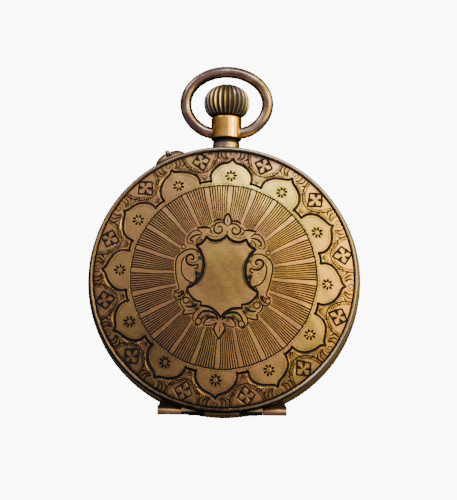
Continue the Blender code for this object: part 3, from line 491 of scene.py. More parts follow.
# %% The shield's outline
mirrored([(0, 7.5), (0.45, 6.95), (1.1, 6.5), (1.9, 6.26), (2.8, 6.35), (3.65, 6.9)], 0.2, 0.17, taper=0.7)
mirrored([(3.65, 6.9), (3.85, 6.25), (4.4, 5.6), (5.4, 5.15)], 0.2, 0.17, taper=0.7)
mirrored([(5.4, 5.15), (4.75, 4.4), (4.2, 3.3), (3.88, 2.2), (3.8, 1.0), (3.98, -0.2), (4.5, -1.2),
          (5.3, -2.1), (6.35, -2.65)], 0.23, 0.19, taper=0.7)  # fmt: skip
mirrored([(6.35, -2.65), (6.15, -3.5), (5.5, -4.4), (4.6, -5.0), (3.7, -5.15)], 0.16, 0.14, taper=0.6)
mirrored([(3.7, -5.15), (3.8, -5.85)], 0.12, 0.12)
mirrored([(3.8, -5.85), (3.0, -5.85), (2.1, -6.0), (1.2, -6.5), (0.5, -7.1), (0, -7.75)], 0.18, 0.16, taper=0.7)
# a fine line follows the heavy one inside the shield
mirrored([(0, 6.95), (0.8, 6.1), (1.9, 5.75), (3.0, 5.9), (3.6, 6.1)], 0.05, 0.03, dark=0.45)
mirrored([(3.5, 3.0), (3.3, 1.6), (3.35, 0.4), (3.8, -1.0), (4.8, -2.2)], 0.05, 0.03, dark=0.45)
print("strokes:", len(strokes))

# %% Top scrolls
mirrored([(0.6, 9.75), (0.66, 10.4), (0.4, 11.1), (0, 11.55)], 0.15, 0.13, taper=0.6)
stroke([(0, 10.9), (0.02, 10.2), (0, 9.7)], 0.06, 0.05, dark=0.7)
mirrored([(0.02, 9.15), (0.5, 9.62), (1.3, 9.78), (2.1, 9.45), (2.45, 8.8), (2.3, 8.1), (1.75, 7.72),
          (1.15, 7.9), (0.88, 8.45), (1.12, 8.98), (1.55, 9.02), (1.75, 8.65)],
         0.11, 0.11, taper=0.35)  # fmt: skip
mirrored([(0.75, 10.12), (1.4, 10.3), (2.1, 10.12), (2.6, 9.7)], 0.14, 0.12, taper=0.4)
mirrored([(2.55, 9.2), (2.85, 8.9), (3.1, 8.5)], 0.08, 0.08)
mirrored([(3.1, 8.55), (3.8, 8.68), (4.6, 8.6), (5.45, 8.45)], 0.14, 0.13, taper=0.4)
mirrored([(5.4, 8.4), (5.0, 7.95), (4.35, 7.35)], 0.07, 0.08)
mirrored([(3.15, 8.45), (2.9, 7.9), (2.3, 7.45)], 0.06, 0.06)
mirrored([(1.2, 7.4), (2.0, 7.0), (3.0, 7.2), (3.6, 7.5)], 0.045, 0.04, dark=0.6)
mirrored([(0.0, 7.75), (0.02, 8.3)], 0.09, 0.1)
print("strokes:", len(strokes))

# %% Shoulder scrolls
mirrored([(4.95, 7.85), (5.55, 8.02), (6.2, 7.75), (6.75, 7.15), (7.1, 6.4), (7.05, 5.7), (6.6, 5.25)],
         0.09, 0.09)  # fmt: skip
mirrored([(4.45, 7.2), (5.2, 7.15), (5.9, 6.88), (6.4, 6.4), (6.45, 6.0), (6.0, 6.15)], 0.12, 0.11, taper=0.4)
turns = np.radians(40 + 330 * np.linspace(0, 1, 9))
radii = 0.12 + (0.42 - 0.12) * np.linspace(0, 1, 9)
curl = [(6.1 + r * math.cos(a), 5.75 + r * math.sin(a)) for r, a in zip(radii, turns)]
mirrored(curl, 0.06, 0.06, spacing=9)
mirrored([(4.5, 6.85), (5.0, 6.6), (5.28, 6.1), (5.25, 5.45)], 0.09, 0.09)
mirrored([(4.3, 6.5), (4.9, 6.0), (4.9, 5.6)], 0.045, 0.04, dark=0.7)
mirrored([(5.55, 6.5), (5.6, 5.9), (5.45, 5.4)], 0.045, 0.04, dark=0.7)
ball(7.68, 4.8, 0.42)
print("strokes:", len(strokes))

# %% Side scrolls
mirrored([(4.8, 3.75), (5.3, 4.25), (6.2, 4.42), (7.15, 4.2), (8.0, 3.6), (8.6, 2.75), (8.8, 1.7),
          (8.75, 0.5), (8.6, -0.6), (8.35, -1.6), (8.05, -2.4), (7.98, -3.0), (8.2, -3.3), (8.7, -3.35)],
         0.1, 0.1, taper=0.6)  # fmt: skip
mirrored([(6.2, 2.7), (5.8, 2.5), (5.65, 2.9), (5.9, 3.3), (6.45, 3.4), (6.95, 3.0), (7.05, 2.35),
          (6.75, 1.8), (6.15, 1.48), (5.4, 1.5), (4.85, 1.78)], 0.15, 0.14, taper=0.35)  # fmt: skip
mirrored([(4.85, 1.75), (4.75, 1.3), (4.95, 0.95), (5.35, 0.85)], 0.1, 0.1)
mirrored([(5.3, 3.85), (4.85, 3.3), (4.82, 2.7), (5.15, 2.15), (5.75, 1.92), (6.3, 2.1), (6.55, 2.5)],
         0.055, 0.05)  # fmt: skip
mirrored([(7.35, 2.9), (7.75, 2.0), (7.75, 1.0), (7.6, 0.2), (7.3, -0.5), (6.8, -1.1), (6.0, -1.5),
          (5.1, -1.75)], 0.1, 0.1)  # fmt: skip
mirrored([(5.15, -1.75), (4.85, -0.9), (4.85, -0.2), (5.1, 0.45)], 0.11, 0.11)
mirrored([(5.4, -1.9), (6.0, -1.85), (6.15, -2.35)], 0.08, 0.08)
for x, y in ((5.6, -0.5), (6.1, 0.0), (6.6, -0.3), (6.0, -0.9), (6.8, 0.6), (6.3, 0.7), (5.6, 0.3)):
    mirrored([(x, y), (x + 0.16, y + 0.1)], 0.05, 0.04, dark=0.6)
mirrored([(6.55, -2.75), (6.6, -3.6), (7.0, -4.4), (7.7, -4.95), (8.4, -4.85), (8.85, -4.3)], 0.09, 0.09)
mirrored([(8.75, -3.45), (8.2, -3.7), (7.7, -3.6), (7.35, -3.15)], 0.08, 0.08)
mirrored([(7.0, -3.2), (7.15, -3.85), (7.75, -4.45)], 0.15, 0.13)
ball(8.3, -4.1, 0.48)
print("strokes:", len(strokes))

# %% Lower scrolls
ball(6.45, -5.0, 0.58, 0.09, 0.09)
mirrored([(7.15, -4.55), (7.45, -5.2), (7.25, -5.9), (6.75, -6.45)], 0.09, 0.09)
mirrored([(4.35, -5.5), (4.9, -6.0), (5.6, -6.22), (6.4, -6.05)], 0.13, 0.12)
mirrored([(6.4, -3.3), (6.3, -4.25)], 0.09, 0.09)
for k in range(5):
    mirrored([(4.75 + 0.28 * k, -5.35 + 0.32 * k), (5.25 + 0.22 * k, -5.85 + 0.42 * k)], 0.05, 0.05, dark=0.8)
mirrored([(6.72, -6.5), (6.6, -6.95), (6.9, -7.45)], 0.13, 0.12, taper=0.4)
mirrored([(6.9, -7.5), (6.3, -7.62), (5.5, -7.5), (4.9, -7.3)], 0.1, 0.1)
mirrored([(4.3, -6.3), (4.9, -6.8), (5.9, -6.9)], 0.045, 0.04, dark=0.6)
mirrored([(3.9, -6.2), (4.5, -6.9), (4.92, -7.7), (4.9, -8.5), (4.45, -9.2), (3.8, -9.45)], 0.09, 0.09)
mirrored([(0.4, -7.85), (1.1, -7.05), (2.0, -6.68), (2.95, -6.75), (3.7, -7.35), (4.1, -8.1)], 0.15, 0.14)
ball(3.85, -8.65, 0.56, 0.09, 0.09)
mirrored([(0.3, -8.1), (1.1, -7.65), (1.85, -7.75), (2.5, -8.35), (3.0, -9.0)], 0.12, 0.11)
mirrored([(3.0, -9.05), (2.3, -9.3), (1.3, -9.1), (0.5, -8.5)], 0.08, 0.08)
mirrored([(0.8, -8.3), (1.5, -8.35), (2.2, -8.85)], 0.045, 0.04, dark=0.6)
for k in range(5):
    mirrored([(2.0 + 0.3 * k, -7.05 - 0.1 * k), (2.35 + 0.22 * k, -7.75 - 0.2 * k)], 0.055, 0.05, dark=0.8)
mirrored([(0.55, -8.8), (0.95, -9.5), (0.85, -10.3), (0.4, -11.1), (0, -11.7)], 0.13, 0.12)
stroke([(0, -9.3), (0.03, -10.0), (0, -10.7)], 0.07, 0.06, dark=0.8)
print("strokes:", len(strokes))

# %% A heavier hand
# the whole ornament was cut boldly, so all its strokes are widened, deepened and darkened
WIDER, DEEPER, DARKER = 1.7, 1.25, 1.2
strokes = [
    (line, width * WIDER, depth * DEEPER, min(1, dark * DARKER)) for line, width, depth, dark in strokes
]
print("widest stroke:", round(2 * max(width.max() for _, width, *_ in strokes), 2), "mm")

# %% [markdown]
# ### The rays
# Twenty-four plain bands run from the scrolls to a circle, with eight ruled lines between
# each two. Each line starts where the scrolls end, which is found from an outline of the
# whole ornament.

# %% The outline of the ornament
HALF_OUTLINE = [
    (0, 11.85), (0.7, 11.1), (0.85, 10.4), (1.7, 10.5), (2.5, 10.1), (3.0, 9.3), (3.3, 8.85), (4.6, 8.85),
    (5.6, 8.65), (6.4, 7.95), (7.1, 7.3), (7.4, 6.4), (7.4, 5.35), (8.1, 5.15), (8.15, 4.3), (8.0, 3.85),
    (8.75, 2.95), (9.0, 1.8), (8.95, 0.5), (8.75, -0.8), (8.45, -2.0), (8.3, -2.9), (8.95, -3.3),
    (9.05, -4.3), (8.5, -5.05), (7.6, -5.15), (7.5, -5.9), (7.0, -6.55), (7.1, -7.6), (5.6, -7.8),
    (5.1, -7.9), (5.0, -8.7), (4.5, -9.4), (3.6, -9.65), (3.0, -9.35), (2.2, -9.5), (1.3, -9.35),
    (1.1, -9.8), (1.0, -10.4), (0.5, -11.25), (0, -11.9),
]  # fmt: skip
OUTLINE = np.array(HALF_OUTLINE + [(-x, y) for x, y in HALF_OUTLINE[-2:0:-1]])
print("the ornament reaches", np.hypot(*OUTLINE.T).max().round(2), "mm from the middle")


def ornament_reach(angle):
    """How far the ornament reaches in the direction of this angle, clockwise from the top."""
    way = np.array([math.sin(angle), math.cos(angle)])
    furthest = 0.0
    for a, b in zip(OUTLINE, np.roll(OUTLINE, -1, axis=0)):
        edge = b - a
        cross = way[0] * edge[1] - way[1] * edge[0]
        if abs(cross) > 1e-9:
            t = (a[0] * edge[1] - a[1] * edge[0]) / cross
            s = (a[0] * way[1] - a[1] * way[0]) / cross
            if t > 0 and 0 <= s <= 1:
                furthest = max(furthest, t)
    return furthest


def polar(r, degrees):
    a = math.radians(degrees)
    return (r * math.sin(a), r * math.cos(a))


# %% Rays
BANDS, LINES = 24, 8
BAND_ANGLE, PITCH = 3.9, 11.1 / 7  # degrees
# a ray has a point at each of these radii, so that it follows the dome
STEPS_OUT = [5.5, 6.7, 7.9, 9.1, 10.3, 11.5, 12.7, 13.9, 15.1, 16.1, FIELD_R]
RAY_HALF, EDGE_RAY_HALF, RAY_DEPTH = 0.14, 0.165, 0.1
for band in range(BANDS):
    for line in range(LINES):
        degrees = 360 / BANDS * band + BAND_ANGLE / 2 + PITCH * line + rng.uniform(-0.07, 0.07)
        start = ornament_reach(math.radians(degrees)) + 0.12
        steps = [start] + [r for r in STEPS_OUT if r > start + 0.3]
        half = EDGE_RAY_HALF if line in (0, LINES - 1) else RAY_HALF
        ray = np.array([polar(r, degrees) for r in steps])
        strokes.append((ray, half * np.linspace(0.55, 1.05, len(steps)), RAY_DEPTH, 1.0))
print("rays:", BANDS * LINES)

# %% Circles
CIRCLE_STEPS = 120
for radius, half, depth in ((FIELD_R, 0.13, 0.11), (RIM_R - 0.2, 0.17, 0.14)):
    circle = np.array([polar(radius, 360 * k / CIRCLE_STEPS) for k in range(CIRCLE_STEPS + 1)])
    strokes.append((circle, np.full(len(circle), half), depth, 1.0))
# a ring of short dashes between the rays and the petals
DASHES, DASH_R, DASH_PITCH, DASH_LENGTH = 200, 17.36, 1.8, 0.8  # the last two in degrees
for k in range(DASHES):
    dash = np.array([polar(DASH_R, DASH_PITCH * k), polar(DASH_R, DASH_PITCH * k + DASH_LENGTH)])
    strokes.append((dash, np.full(2, 0.06), 0.05, 0.8))
print("strokes without the ring:", len(strokes))

# %% [markdown]
# ### Petals, flowers, diamonds and leaves
# The ring repeats twelve times, and no two repeats of a hand are the same, so each stroke
# is moved by a hair. Each petal is a raised plateau with a wide cut round it, and the
# little flowers in the petals are eight drops punched with one tool.

# %% Strokes of the ring
PETALS, PETAL_TURN = 12, 30  # the turn is in degrees


def in_ring(points, degrees, base=PETAL_BASE_R):
    """Points given across and outwards from the base of a petal, put at its angle."""
    a = math.radians(degrees)
    return [
        (x * math.cos(a) + (base + y) * math.sin(a), -x * math.sin(a) + (base + y) * math.cos(a))
        for x, y in points
    ]


def ring_stroke(points, degrees, *args, base=PETAL_BASE_R, shake=0.05, **kwargs):
    """A stroke of the ring, each of its points moved by a hair."""
    moved = [(x + rng.uniform(-shake, shake), y + rng.uniform(-shake, shake)) for x, y in points]
    stroke(in_ring(moved, degrees, base), *args, **kwargs)


# %% A petal
PETAL_HALF = [
    (3.62, -0.25), (3.78, 0.35), (3.74, 1.15), (3.4, 1.95), (2.7, 2.75), (1.8, 3.34), (1.0, 3.68),
    (0.45, 3.95), (0, 4.5),
]  # fmt: skip
PETAL_MIDDLE = np.array([0, 1.5])


def petal(degrees):
    """A wide dark cut with a bright burr outside it, a fine line inside it and a fringe of
    short cuts that lean forwards."""
    for side in (-1, 1):
        outline = [(side * x, y) for x, y in PETAL_HALF]
        ring_stroke(outline, degrees, 0.31, 0.17, taper=0.85, dark=0.6, shake=0.03)
        burr = [(side * (x + 0.33), y * 1.05 + 0.1) for x, y in PETAL_HALF[1:-2]]
        ring_stroke(burr, degrees, 0.12, 0.07, dark=0.0, shake=0.02)
        inner = [(side * (x - 0.55), y * 0.93 - 0.14) for x, y in PETAL_HALF[1:-2]]
        ring_stroke(inner, degrees, 0.05, 0.035, dark=0.5, shake=0.02)
        dense = spline(outline, 0.4)
        for k in range(2, len(dense) - 3):
            here, after = dense[k], dense[k + 1]
            way = (after - here) / np.linalg.norm(after - here)
            out = np.array([way[1], -way[0]])
            out = out if out @ (here - PETAL_MIDDLE) > 0 else -out
            first = here + out * 0.48
            reach = 0.42 + 0.12 * math.sin(k * 1.3) + rng.uniform(0, 0.1)
            ring_stroke([first, first + (out + 0.45 * way) * reach], degrees, 0.1, 0.1, shake=0.02)


# %% A flower
def flower(degrees):
    """Eight drops round a dot."""
    middle = FLOWER_R - PETAL_BASE_R
    turn = rng.uniform(-0.12, 0.12)
    for k in range(8):
        a = FULL * k / 8 + turn
        way = np.array([math.cos(a), math.sin(a)])
        tip = rng.uniform(0.9, 0.98)
        drop = [np.array([0, middle]) + r * way for r in (0.48, 0.62, 0.78, tip)]
        ring_stroke(drop, degrees, 0.25, 0.2, taper=0.4, swell=0.7, spacing=0.12, shake=0.01)
    dot = [(0, middle - 0.04), (0, middle + 0.04)]
    ring_stroke(dot, degrees, 0.1, 0.1, taper=0.9, shake=0.01)


# %% A diamond
DIAMOND_HALF = 1.62
CUP = [(3.45, 1.7), (3.3, 0.7), (2.85, -0.35), (2.1, -1.35), (1.1, -2.05), (0, -2.3)]


def diamond(degrees):
    """A diamond with four dark wedges, in a hatched cup. Those by the pendant and opposite it
    are worn."""

    def cut(*args, shake=0.02, **kwargs):
        ring_stroke(*args, base=DIAMOND_R, shake=shake, **kwargs)

    half = DIAMOND_HALF
    from_top = abs((degrees + 180) % 360 - 180)
    worn = 0.42 if from_top > 150 else 0.55 if from_top < 30 else 1.0
    corners = [(0, half), (half, 0), (0, -1.2 * half), (-half, 0)]
    for a, b in zip(corners, corners[1:] + corners[:1]):
        cut([a, b], degrees, 0.2, 0.12, taper=0.85, dark=worn, shake=0.05)
        side = (np.array(a) + np.array(b)) / 2
        wedge = [side * 0.9, side * 0.72, side * 0.45, side * 0.2]
        cut(wedge, degrees, 0.4, 0.12, taper=0.14, swell=0.0, dark=worn, shake=0.03)
        for share in (0.22, 0.78):
            vein = (np.array(a) * (1 - share) + np.array(b) * share) * 0.8
            cut([vein, vein * 0.7], degrees, 0.05, 0.05, taper=0.4, dark=0.6 * worn)
    for side in (-1, 1):
        cup = [(side * x, y) for x, y in CUP]
        cut(cup, degrees, 0.12, 0.11, taper=0.9)
        for place in spline(cup, 0.4)[1:]:
            here = place * 0.9
            inward = -here / np.linalg.norm(here)
            lean = np.array([-inward[1], inward[0]]) * side * 0.3
            cut([here, here + (inward + lean) * 0.5], degrees, 0.09, 0.09, taper=0.4)
        cut([(side * 1.1, -2.45), (side * 1.9, -1.95), (side * 2.6, -1.25)], degrees, 0.06, 0.07, dark=0.9)


# %% Leaves
LEAF_ARCS = (((0.75, 4.45), (1.35, 5.85)), ((1.3, 4.35), (2.15, 5.75)), ((1.95, 4.2), (2.85, 5.45)))


def leaves(degrees):
    """The rosette outside a petal's tip, and the feathered leaves on both sides of it."""
    turns = np.radians(np.linspace(-80, 460, 20))
    radii = np.linspace(0.88, 0.14, 20)
    rosette = [(r * math.cos(a), 5.42 + 0.82 * r * math.sin(a)) for r, a in zip(radii, turns)]
    ring_stroke(rosette, degrees, 0.09, 0.1, spacing=9, shake=0.02)
    for side in (-1, 1):
        for first, last in LEAF_ARCS:
            middle = ((first[0] + last[0]) / 2 + 0.28, (first[1] + last[1]) / 2 - 0.12)
            arc = [(side * x, y) for x, y in (first, middle, last)]
            ring_stroke(arc, degrees, 0.13, 0.12, taper=0.35, shake=0.03)
            for place in spline(arc, 0.34)[1:]:
                here = place + np.array([side * 0.16, -0.05])
                feather = [here, here + np.array([side * 0.24, 0.12])]
                ring_stroke(feather, degrees, 0.08, 0.08, taper=0.3, shake=0.02)
        ring_stroke([(side * 2.6, 4.0), (side * 3.2, 3.75), (side * 3.7, 3.2)], degrees, 0.08, 0.09)


# %% A shell
def shell(degrees):
    """The little fan at the bottom of the valley between two petals."""
    for k in range(-2, 3):
        rib = [(0.08 * k, 0.5), (0.22 * k, 1.2 - 0.05 * k * k)]
        ring_stroke(rib, degrees, 0.075, 0.09, taper=0.4, shake=0.02)
    ring_stroke([(-0.55, 1.15), (0, 1.45), (0.55, 1.15)], degrees, 0.07, 0.08, shake=0.02)
    for k in range(-1, 2):
        ring_stroke([(0.3 * k, 1.7), (0.36 * k, 2.05)], degrees, 0.065, 0.08, taper=0.4, shake=0.03)
    bottom = [(-0.95, -0.02), (-0.75, 0.2), (0.75, 0.2), (0.95, -0.02)]
    for a, b in zip(bottom, bottom[1:]):
        ring_stroke([a, b], degrees, 0.25, 0.22, taper=0.9, shake=0.01)


# %% The whole ring
for k in range(PETALS):
    middle = PETAL_TURN * k
    between = middle + PETAL_TURN // 2
    petal(middle)
    flower(middle)
    leaves(middle)
    diamond(between)
    shell(between)
print("strokes in all:", len(strokes))

# %% [markdown]
# ### From strokes to a surface
# The triangulation wants plain lists of points and edges. Every stroke gives three chains:
# its left edge, its right edge and its bottom. A loose grid of points keeps the plain
# areas round.


# %% From strokes to chains
def wobble(p):
    """Moves everything a little, as a hand does, but not at the rim."""
    x, y = p[:, 0], p[:, 1]
    dx = 0.05 * np.sin(0.83 * y + 0.4 * x + 1.0) + 0.03 * np.sin(1.9 * x - 1.3 * y)
    dy = 0.05 * np.sin(0.77 * x - 0.5 * y + 2.0) + 0.03 * np.sin(1.7 * y + 1.1 * x)
    fade = np.clip((RIM_R - 0.3 - np.hypot(x, y)) / 2.0, 0, 1)[:, None]
    return p + fade * np.stack([dx, dy], axis=1)


def turned_to_pendant(p):
    c, s = math.cos(TILT), math.sin(TILT)
    return np.stack([c * p[:, 0] - s * p[:, 1], s * p[:, 0] + c * p[:, 1]], axis=1)


def chains(line, width):
    """The two edges of a stroke, which meet in a point beyond its ends, and its bottom."""
    along = np.gradient(line, axis=0)
    along /= np.linalg.norm(along, axis=1)[:, None] + 1e-12
    aside = np.stack([-along[:, 1], along[:, 0]], axis=1)
    if np.linalg.norm(line[0] - line[-1]) < 0.01:
        return [line + aside * width[:, None], line - aside * width[:, None], line]
    start, end = line[:1] - along[:1] * width[0], line[-1:] + along[-1:] * width[-1]
    left, right = (np.vstack([start, line + s * aside * width[:, None], end]) for s in (1, -1))
    return [left, right, line]


# %% Points and edges
LIMIT = RIM_R - 0.03  # no stroke reaches further
points, edges, cuts = [], [], []
for line, width, depth, dark in strokes:
    line = wobble(line)
    radius = np.hypot(*line.T)
    reach = np.minimum(1, (LIMIT - width - 0.005) / np.maximum(radius, 1e-6))
    line = line * reach[:, None]
    cuts.append((line, width, depth, dark))
    for chain in chains(line, width):
        first = len(points)
        points.extend(chain)
        edges.extend((first + k, first + k + 1) for k in range(len(chain) - 1))
OUTER = 300
first = len(points)
points.extend(np.array(polar(RIM_R, 360 * k / OUTER)) for k in range(OUTER))
edges.extend((first + k, first + (k + 1) % OUTER) for k in range(OUTER))
print("points on the strokes:", len(points), "edges:", len(edges))

# %% A loose grid between the strokes
GRID, GRID_CLEAR = 0.62, 0.26  # its pitch, and how far it stays from the strokes
GRID_HALF = 40  # rows on each side of the middle
taken = KDTree(len(points))
for k, p in enumerate(points):
    taken.insert((*p, 0), k)
taken.balance()
for row in range(-GRID_HALF, GRID_HALF + 1):
    for column in range(-GRID_HALF, GRID_HALF + 1):
        x, y = GRID * (column + 0.5 * (row % 2)), GRID * 0.87 * row
        if math.hypot(x, y) < RIM_R - 0.25 and taken.find((x, y, 0))[2] > GRID_CLEAR:
            points.append(np.array((x, y)))
flat_points, _, triangles, *_ = delaunay_2d_cdt([Vector(p) for p in points], edges, [], 0, 1e-4)
flat_points = np.array([tuple(p) for p in flat_points])
print("triangulated", len(points), "points into", len(triangles), "faces")

# %% [markdown]
# Each vertex is lowered by the deepest stroke over it, and keeps how dark the dirt of a
# century lies there. The ground between the petals and the rim is sunk a little, and the
# fine work holds more dirt, which a blurred map of all the strokes gives.

# %% Where a vertex lies in a stroke
flat_radius = np.hypot(*flat_points.T)
across, up = flat_points.T


def inside(p, outline):
    """True for the points inside a closed outline."""
    found = np.zeros(len(p), bool)
    for (x0, y0), (x1, y1) in zip(outline, np.roll(outline, -1, axis=0)):
        crosses = (y0 > p[:, 1]) != (y1 > p[:, 1])
        at = (x1 - x0) * (p[:, 1] - y0) / (y1 - y0 + 1e-12) + x0
        found ^= crosses & (p[:, 0] < at)
    return found


def distance_share(p, line, width):
    """How deep each point lies in a stroke, from 1 on its bottom to 0 at its edge, and its
    distance beyond the edge."""
    best = np.zeros(len(p))
    clear = np.full(len(p), 9.0)
    for a, b, wa, wb in zip(line, line[1:], width, width[1:]):
        edge = b - a
        t = np.clip((p - a) @ edge / (edge @ edge + 1e-12), 0, 1)
        gap = np.linalg.norm(p - a - t[:, None] * edge, axis=1)
        here = wa + (wb - wa) * t
        best = np.maximum(best, 1 - gap / here)
        clear = np.minimum(clear, gap - here)
    return best, clear


# %% Depth and dirt of the strokes
HALO_WIDTH, HALO_SOIL = 0.2, 0.1  # a little dirt stays beside a wide stroke
PACKED = 2.2  # above 1, so that the dirt fills most of a cut and stops sharply at its edge
depth_cut = np.zeros(len(flat_points))
dirt_and_shade = np.zeros(len(flat_points))
order = np.argsort(across)
sorted_x = across[order]
for line, width, depth, dark in cuts:
    margin = width.max() + HALO_WIDTH
    low, high = line.min(0) - margin, line.max(0) + margin
    near = order[np.searchsorted(sorted_x, low[0]) : np.searchsorted(sorted_x, high[0])]
    near = near[(up[near] > low[1]) & (up[near] < high[1])]
    if len(near) == 0:
        continue
    share, clear = distance_share(flat_points[near], line, width)
    share = np.clip(share, 0, 1)
    depth_cut[near] = np.maximum(depth_cut[near], depth * share)
    halo = HALO_SOIL * np.clip(1 - clear / HALO_WIDTH, 0, 1) * (width.max() > 0.1)
    dirt_and_shade[near] = np.maximum(dirt_and_shade[near], np.maximum(PACKED * dark * share, halo))
print("share of the vertices inside a cut:", (depth_cut > 0).mean().round(2))

# %% How crowded the strokes are
CELL, CELLS = 0.4, 128
density = np.zeros((CELLS, CELLS))
for line, width, depth, dark in cuts:
    steps = np.linalg.norm(np.diff(line, axis=0), axis=1)
    middle = (line[1:] + line[:-1]) / 2
    spot = np.clip((middle / CELL + CELLS / 2).astype(int), 0, CELLS - 1)
    np.add.at(density, (spot[:, 0], spot[:, 1]), steps * (width[1:] + width[:-1]) * dark)
for _ in range(3):
    density = sum(np.roll(density, shift, axis) for axis in (0, 1) for shift in (-1, 0, 1)) / 6
spot = np.clip((flat_points / CELL + CELLS / 2).astype(int), 0, CELLS - 1)
crowd = density[spot[:, 0], spot[:, 1]] / CELL**2
print("most crowded:", crowd.max().round(2))

# %% The sunk border and the dents
in_petal = np.zeros(len(flat_points), bool)
right_side = spline(PETAL_HALF, 0.3)
petal_outline = np.vstack([right_side, (right_side * [-1, 1])[::-1]])
for k in range(PETALS):
    in_petal |= inside(flat_points, np.array(in_ring(petal_outline, PETAL_TURN * k)))
in_petal |= flat_radius < PETAL_BASE_R + 0.1
border = ~in_petal & (flat_radius < RIM_R - 0.2)
GROUND_DEPTH, RELIEF_TOP, DENT = 0.09, 0.02, 0.04
# the thin lid is not quite even any more
dents = np.sin(0.9 * across + 0.5 * up) + np.sin(1.1 * up - 0.6 * across + 1.7)
dents += 0.6 * np.sin(1.9 * across + 1.3 * up + 0.8)
dents *= np.clip((23.5 - flat_radius) / 2, 0, 1)
depth_all = RELIEF_TOP + depth_cut + GROUND_DEPTH * border + DENT * (1 + dents / 2.6)
print("vertices:", len(flat_points), "deepest cut:", round(depth_all.max(), 3), "mm")

# %% [markdown]
# A century of pockets left marks on top of this. Fingers rubbed the right side of the
# border clean and thinned the dirt on its left. The dirt stayed along the rim, below the
# pendant and between the scrolls, the lid is darker at the lower left, and the shield keeps
# a thin patina.


# %% Dirt that lies in places
def spot_of(x, y, reach):
    """1 at this place on the lid, falling softly to 0 beyond its reach in mm."""
    return np.exp(-((np.hypot(across - x, up - y) / reach) ** 2))


rubbed = np.exp(-(((across - 20) / 9) ** 2 + ((up - 5) / 13) ** 2))
thumbed = spot_of(-17, 10, 9)
top = spot_of(0, 24, 8) * border
# darker at the lower left of the lid and at its bottom
low_left = 0.28 * spot_of(-13, -15, 9) + 0.14 * spot_of(0, -21, 5)
edge_soil = 0.07 * np.clip((flat_radius - 20.5) / 2, 0, 1) + 0.25 * np.clip((flat_radius - 23.1) / 0.7, 0, 1)
grime = np.where(border, (0.03 + 0.07 * np.clip(crowd, 0, 1) + edge_soil) * (1 - rubbed), 0.0)
grime *= 1 - 0.6 * thumbed
grime += 0.06 * spot_of(14, 0, 4) + 0.16 * top
on_petals = in_petal & (flat_radius > FIELD_R)
grime += np.where(on_petals, low_left + 0.15 * spot_of(14, 12, 9), 0.4 * low_left)
patina = 0.26 * np.exp(-((flat_radius / 5.5) ** 6))
# the sunk ground between the scrolls, on both sides of the middle: x, y and radius in mm
WELLS = [
    (4.5, -6.15, 0.65), (5.3, -5.4, 0.5), (2.35, -7.5, 0.6), (1.4, -7.9, 0.5), (3.2, -8.0, 0.4),
    (4.7, 4.3, 0.5), (4.5, 2.9, 0.4), (4.75, 0.1, 0.45), (4.6, 6.3, 0.4), (7.3, -3.6, 0.4), (2.9, 8.0, 0.35),
]  # fmt: skip
for x, y, reach in WELLS:
    away = np.hypot(np.abs(across) - x, up - y)
    patina += 0.4 * np.exp(-((away / reach) ** 4))
dirt_and_shade *= np.where(border, 1 - 0.35 * rubbed - 0.35 * thumbed, 1.0)
dirt_and_shade = np.clip(dirt_and_shade + grime + patina, 0, PACKED)
print("mean dirt:", dirt_and_shade.mean().round(3))

# %% [markdown]
# The gilding is thin, and where it is worn through the coppery metal below shows. Warmth
# says how far, from 0 for gold to 1. It is goldest near the top and the upper right, where
# the gold is also a painted highlight. A spot is x, y, its radius in mm and the change of
# warmth there.

# %% Warmth
WARMTH, RAYS_WARMER = 0.8, 0.2
WARMTH_AND_HIGHLIGHT_SPOTS = [
    (0, 19, 5.5, -0.8), (9.5, 16.5, 5.5, -0.8), (17, 8.5, 4.0, -0.2), (21, 3, 4.0, -0.15), (0, 0, 6.5, -0.35),
    (13, -16, 5.0, -0.3), (-6, 21.5, 3.0, -0.5), (17, -10, 4.0, -0.2), (-18, 2, 9.0, 0.2), (-12, 14, 5.0, 0.2),
]  # fmt: skip
warmth = np.full(len(flat_points), WARMTH)
for x, y, reach, change in WARMTH_AND_HIGHLIGHT_SPOTS:
    warmth += change * spot_of(x, y, reach)
border_warmth = (0.2 + 0.2 * spot_of(-5, -19, 12)) * (1 - rubbed) + spot_of(0, 24, 6.5)
in_rays = (flat_radius < FIELD_R) & (flat_radius > 9.5)
warmth = np.clip(warmth + border_warmth * border + RAYS_WARMER * in_rays, 0, 1)
print("mean warmth:", warmth.mean().round(3))

# %% [markdown]
# The engraved disc alone has no thickness. Rings of vertices are added round its edge, one
# for each point of the rim's section, so that the lid is closed by a rounded bead, a skirt
# and a smooth inside, and the whole is one clean mesh.

# %% The rim
# radius, height and dirt, from the bead round the skirt to the inside
RIM_PROFILE = [
    (24.06, 11.04, 0.3), (24.16, 11.12, 0.05), (24.3, 11.1, 0.08), (24.42, 10.98, 0.26), (24.5, 10.8, 0.34),
    (24.56, 10.55, 0.9), (24.68, 10.42, 0.3), (24.7, 10.05, 0.4), (24.65, 9.75, 0.5), (24.0, 9.75, 0.3),
    (23.9, 10.35, 0.2),
]  # fmt: skip
INSIDE_RADII = (23.1, 19.0, 14.0, 9.0, 4.5)
INSIDE_APEX, INSIDE_DOME_R = 13.45, 94.45
RIM_WARMTH, INSIDE_WARMTH = 0.8, 0.3
KNUCKLE_CLEAR_X, KNUCKLE_CLEAR_Z = 11.95, 9.97  # the skirt is cut away over the hinge


def dome(radius, apex=LID_APEX, dome_r=LID_DOME_R):
    return apex - dome_r + np.sqrt(dome_r**2 - radius**2)


def rim_soil(a, dirt):
    """The dirt of the rim at this angle, and its painted shade: the right is kept clean, and the left and the
    foot are darkened as painted shade.
    """
    side = math.cos(a - 0.2)
    low = max(0, math.cos(a + math.pi / 2) - 0.75) / 0.25
    return dirt * (1 - 0.9 * max(0, side)) + 0.22 * max(0, -side) + 0.35 * low


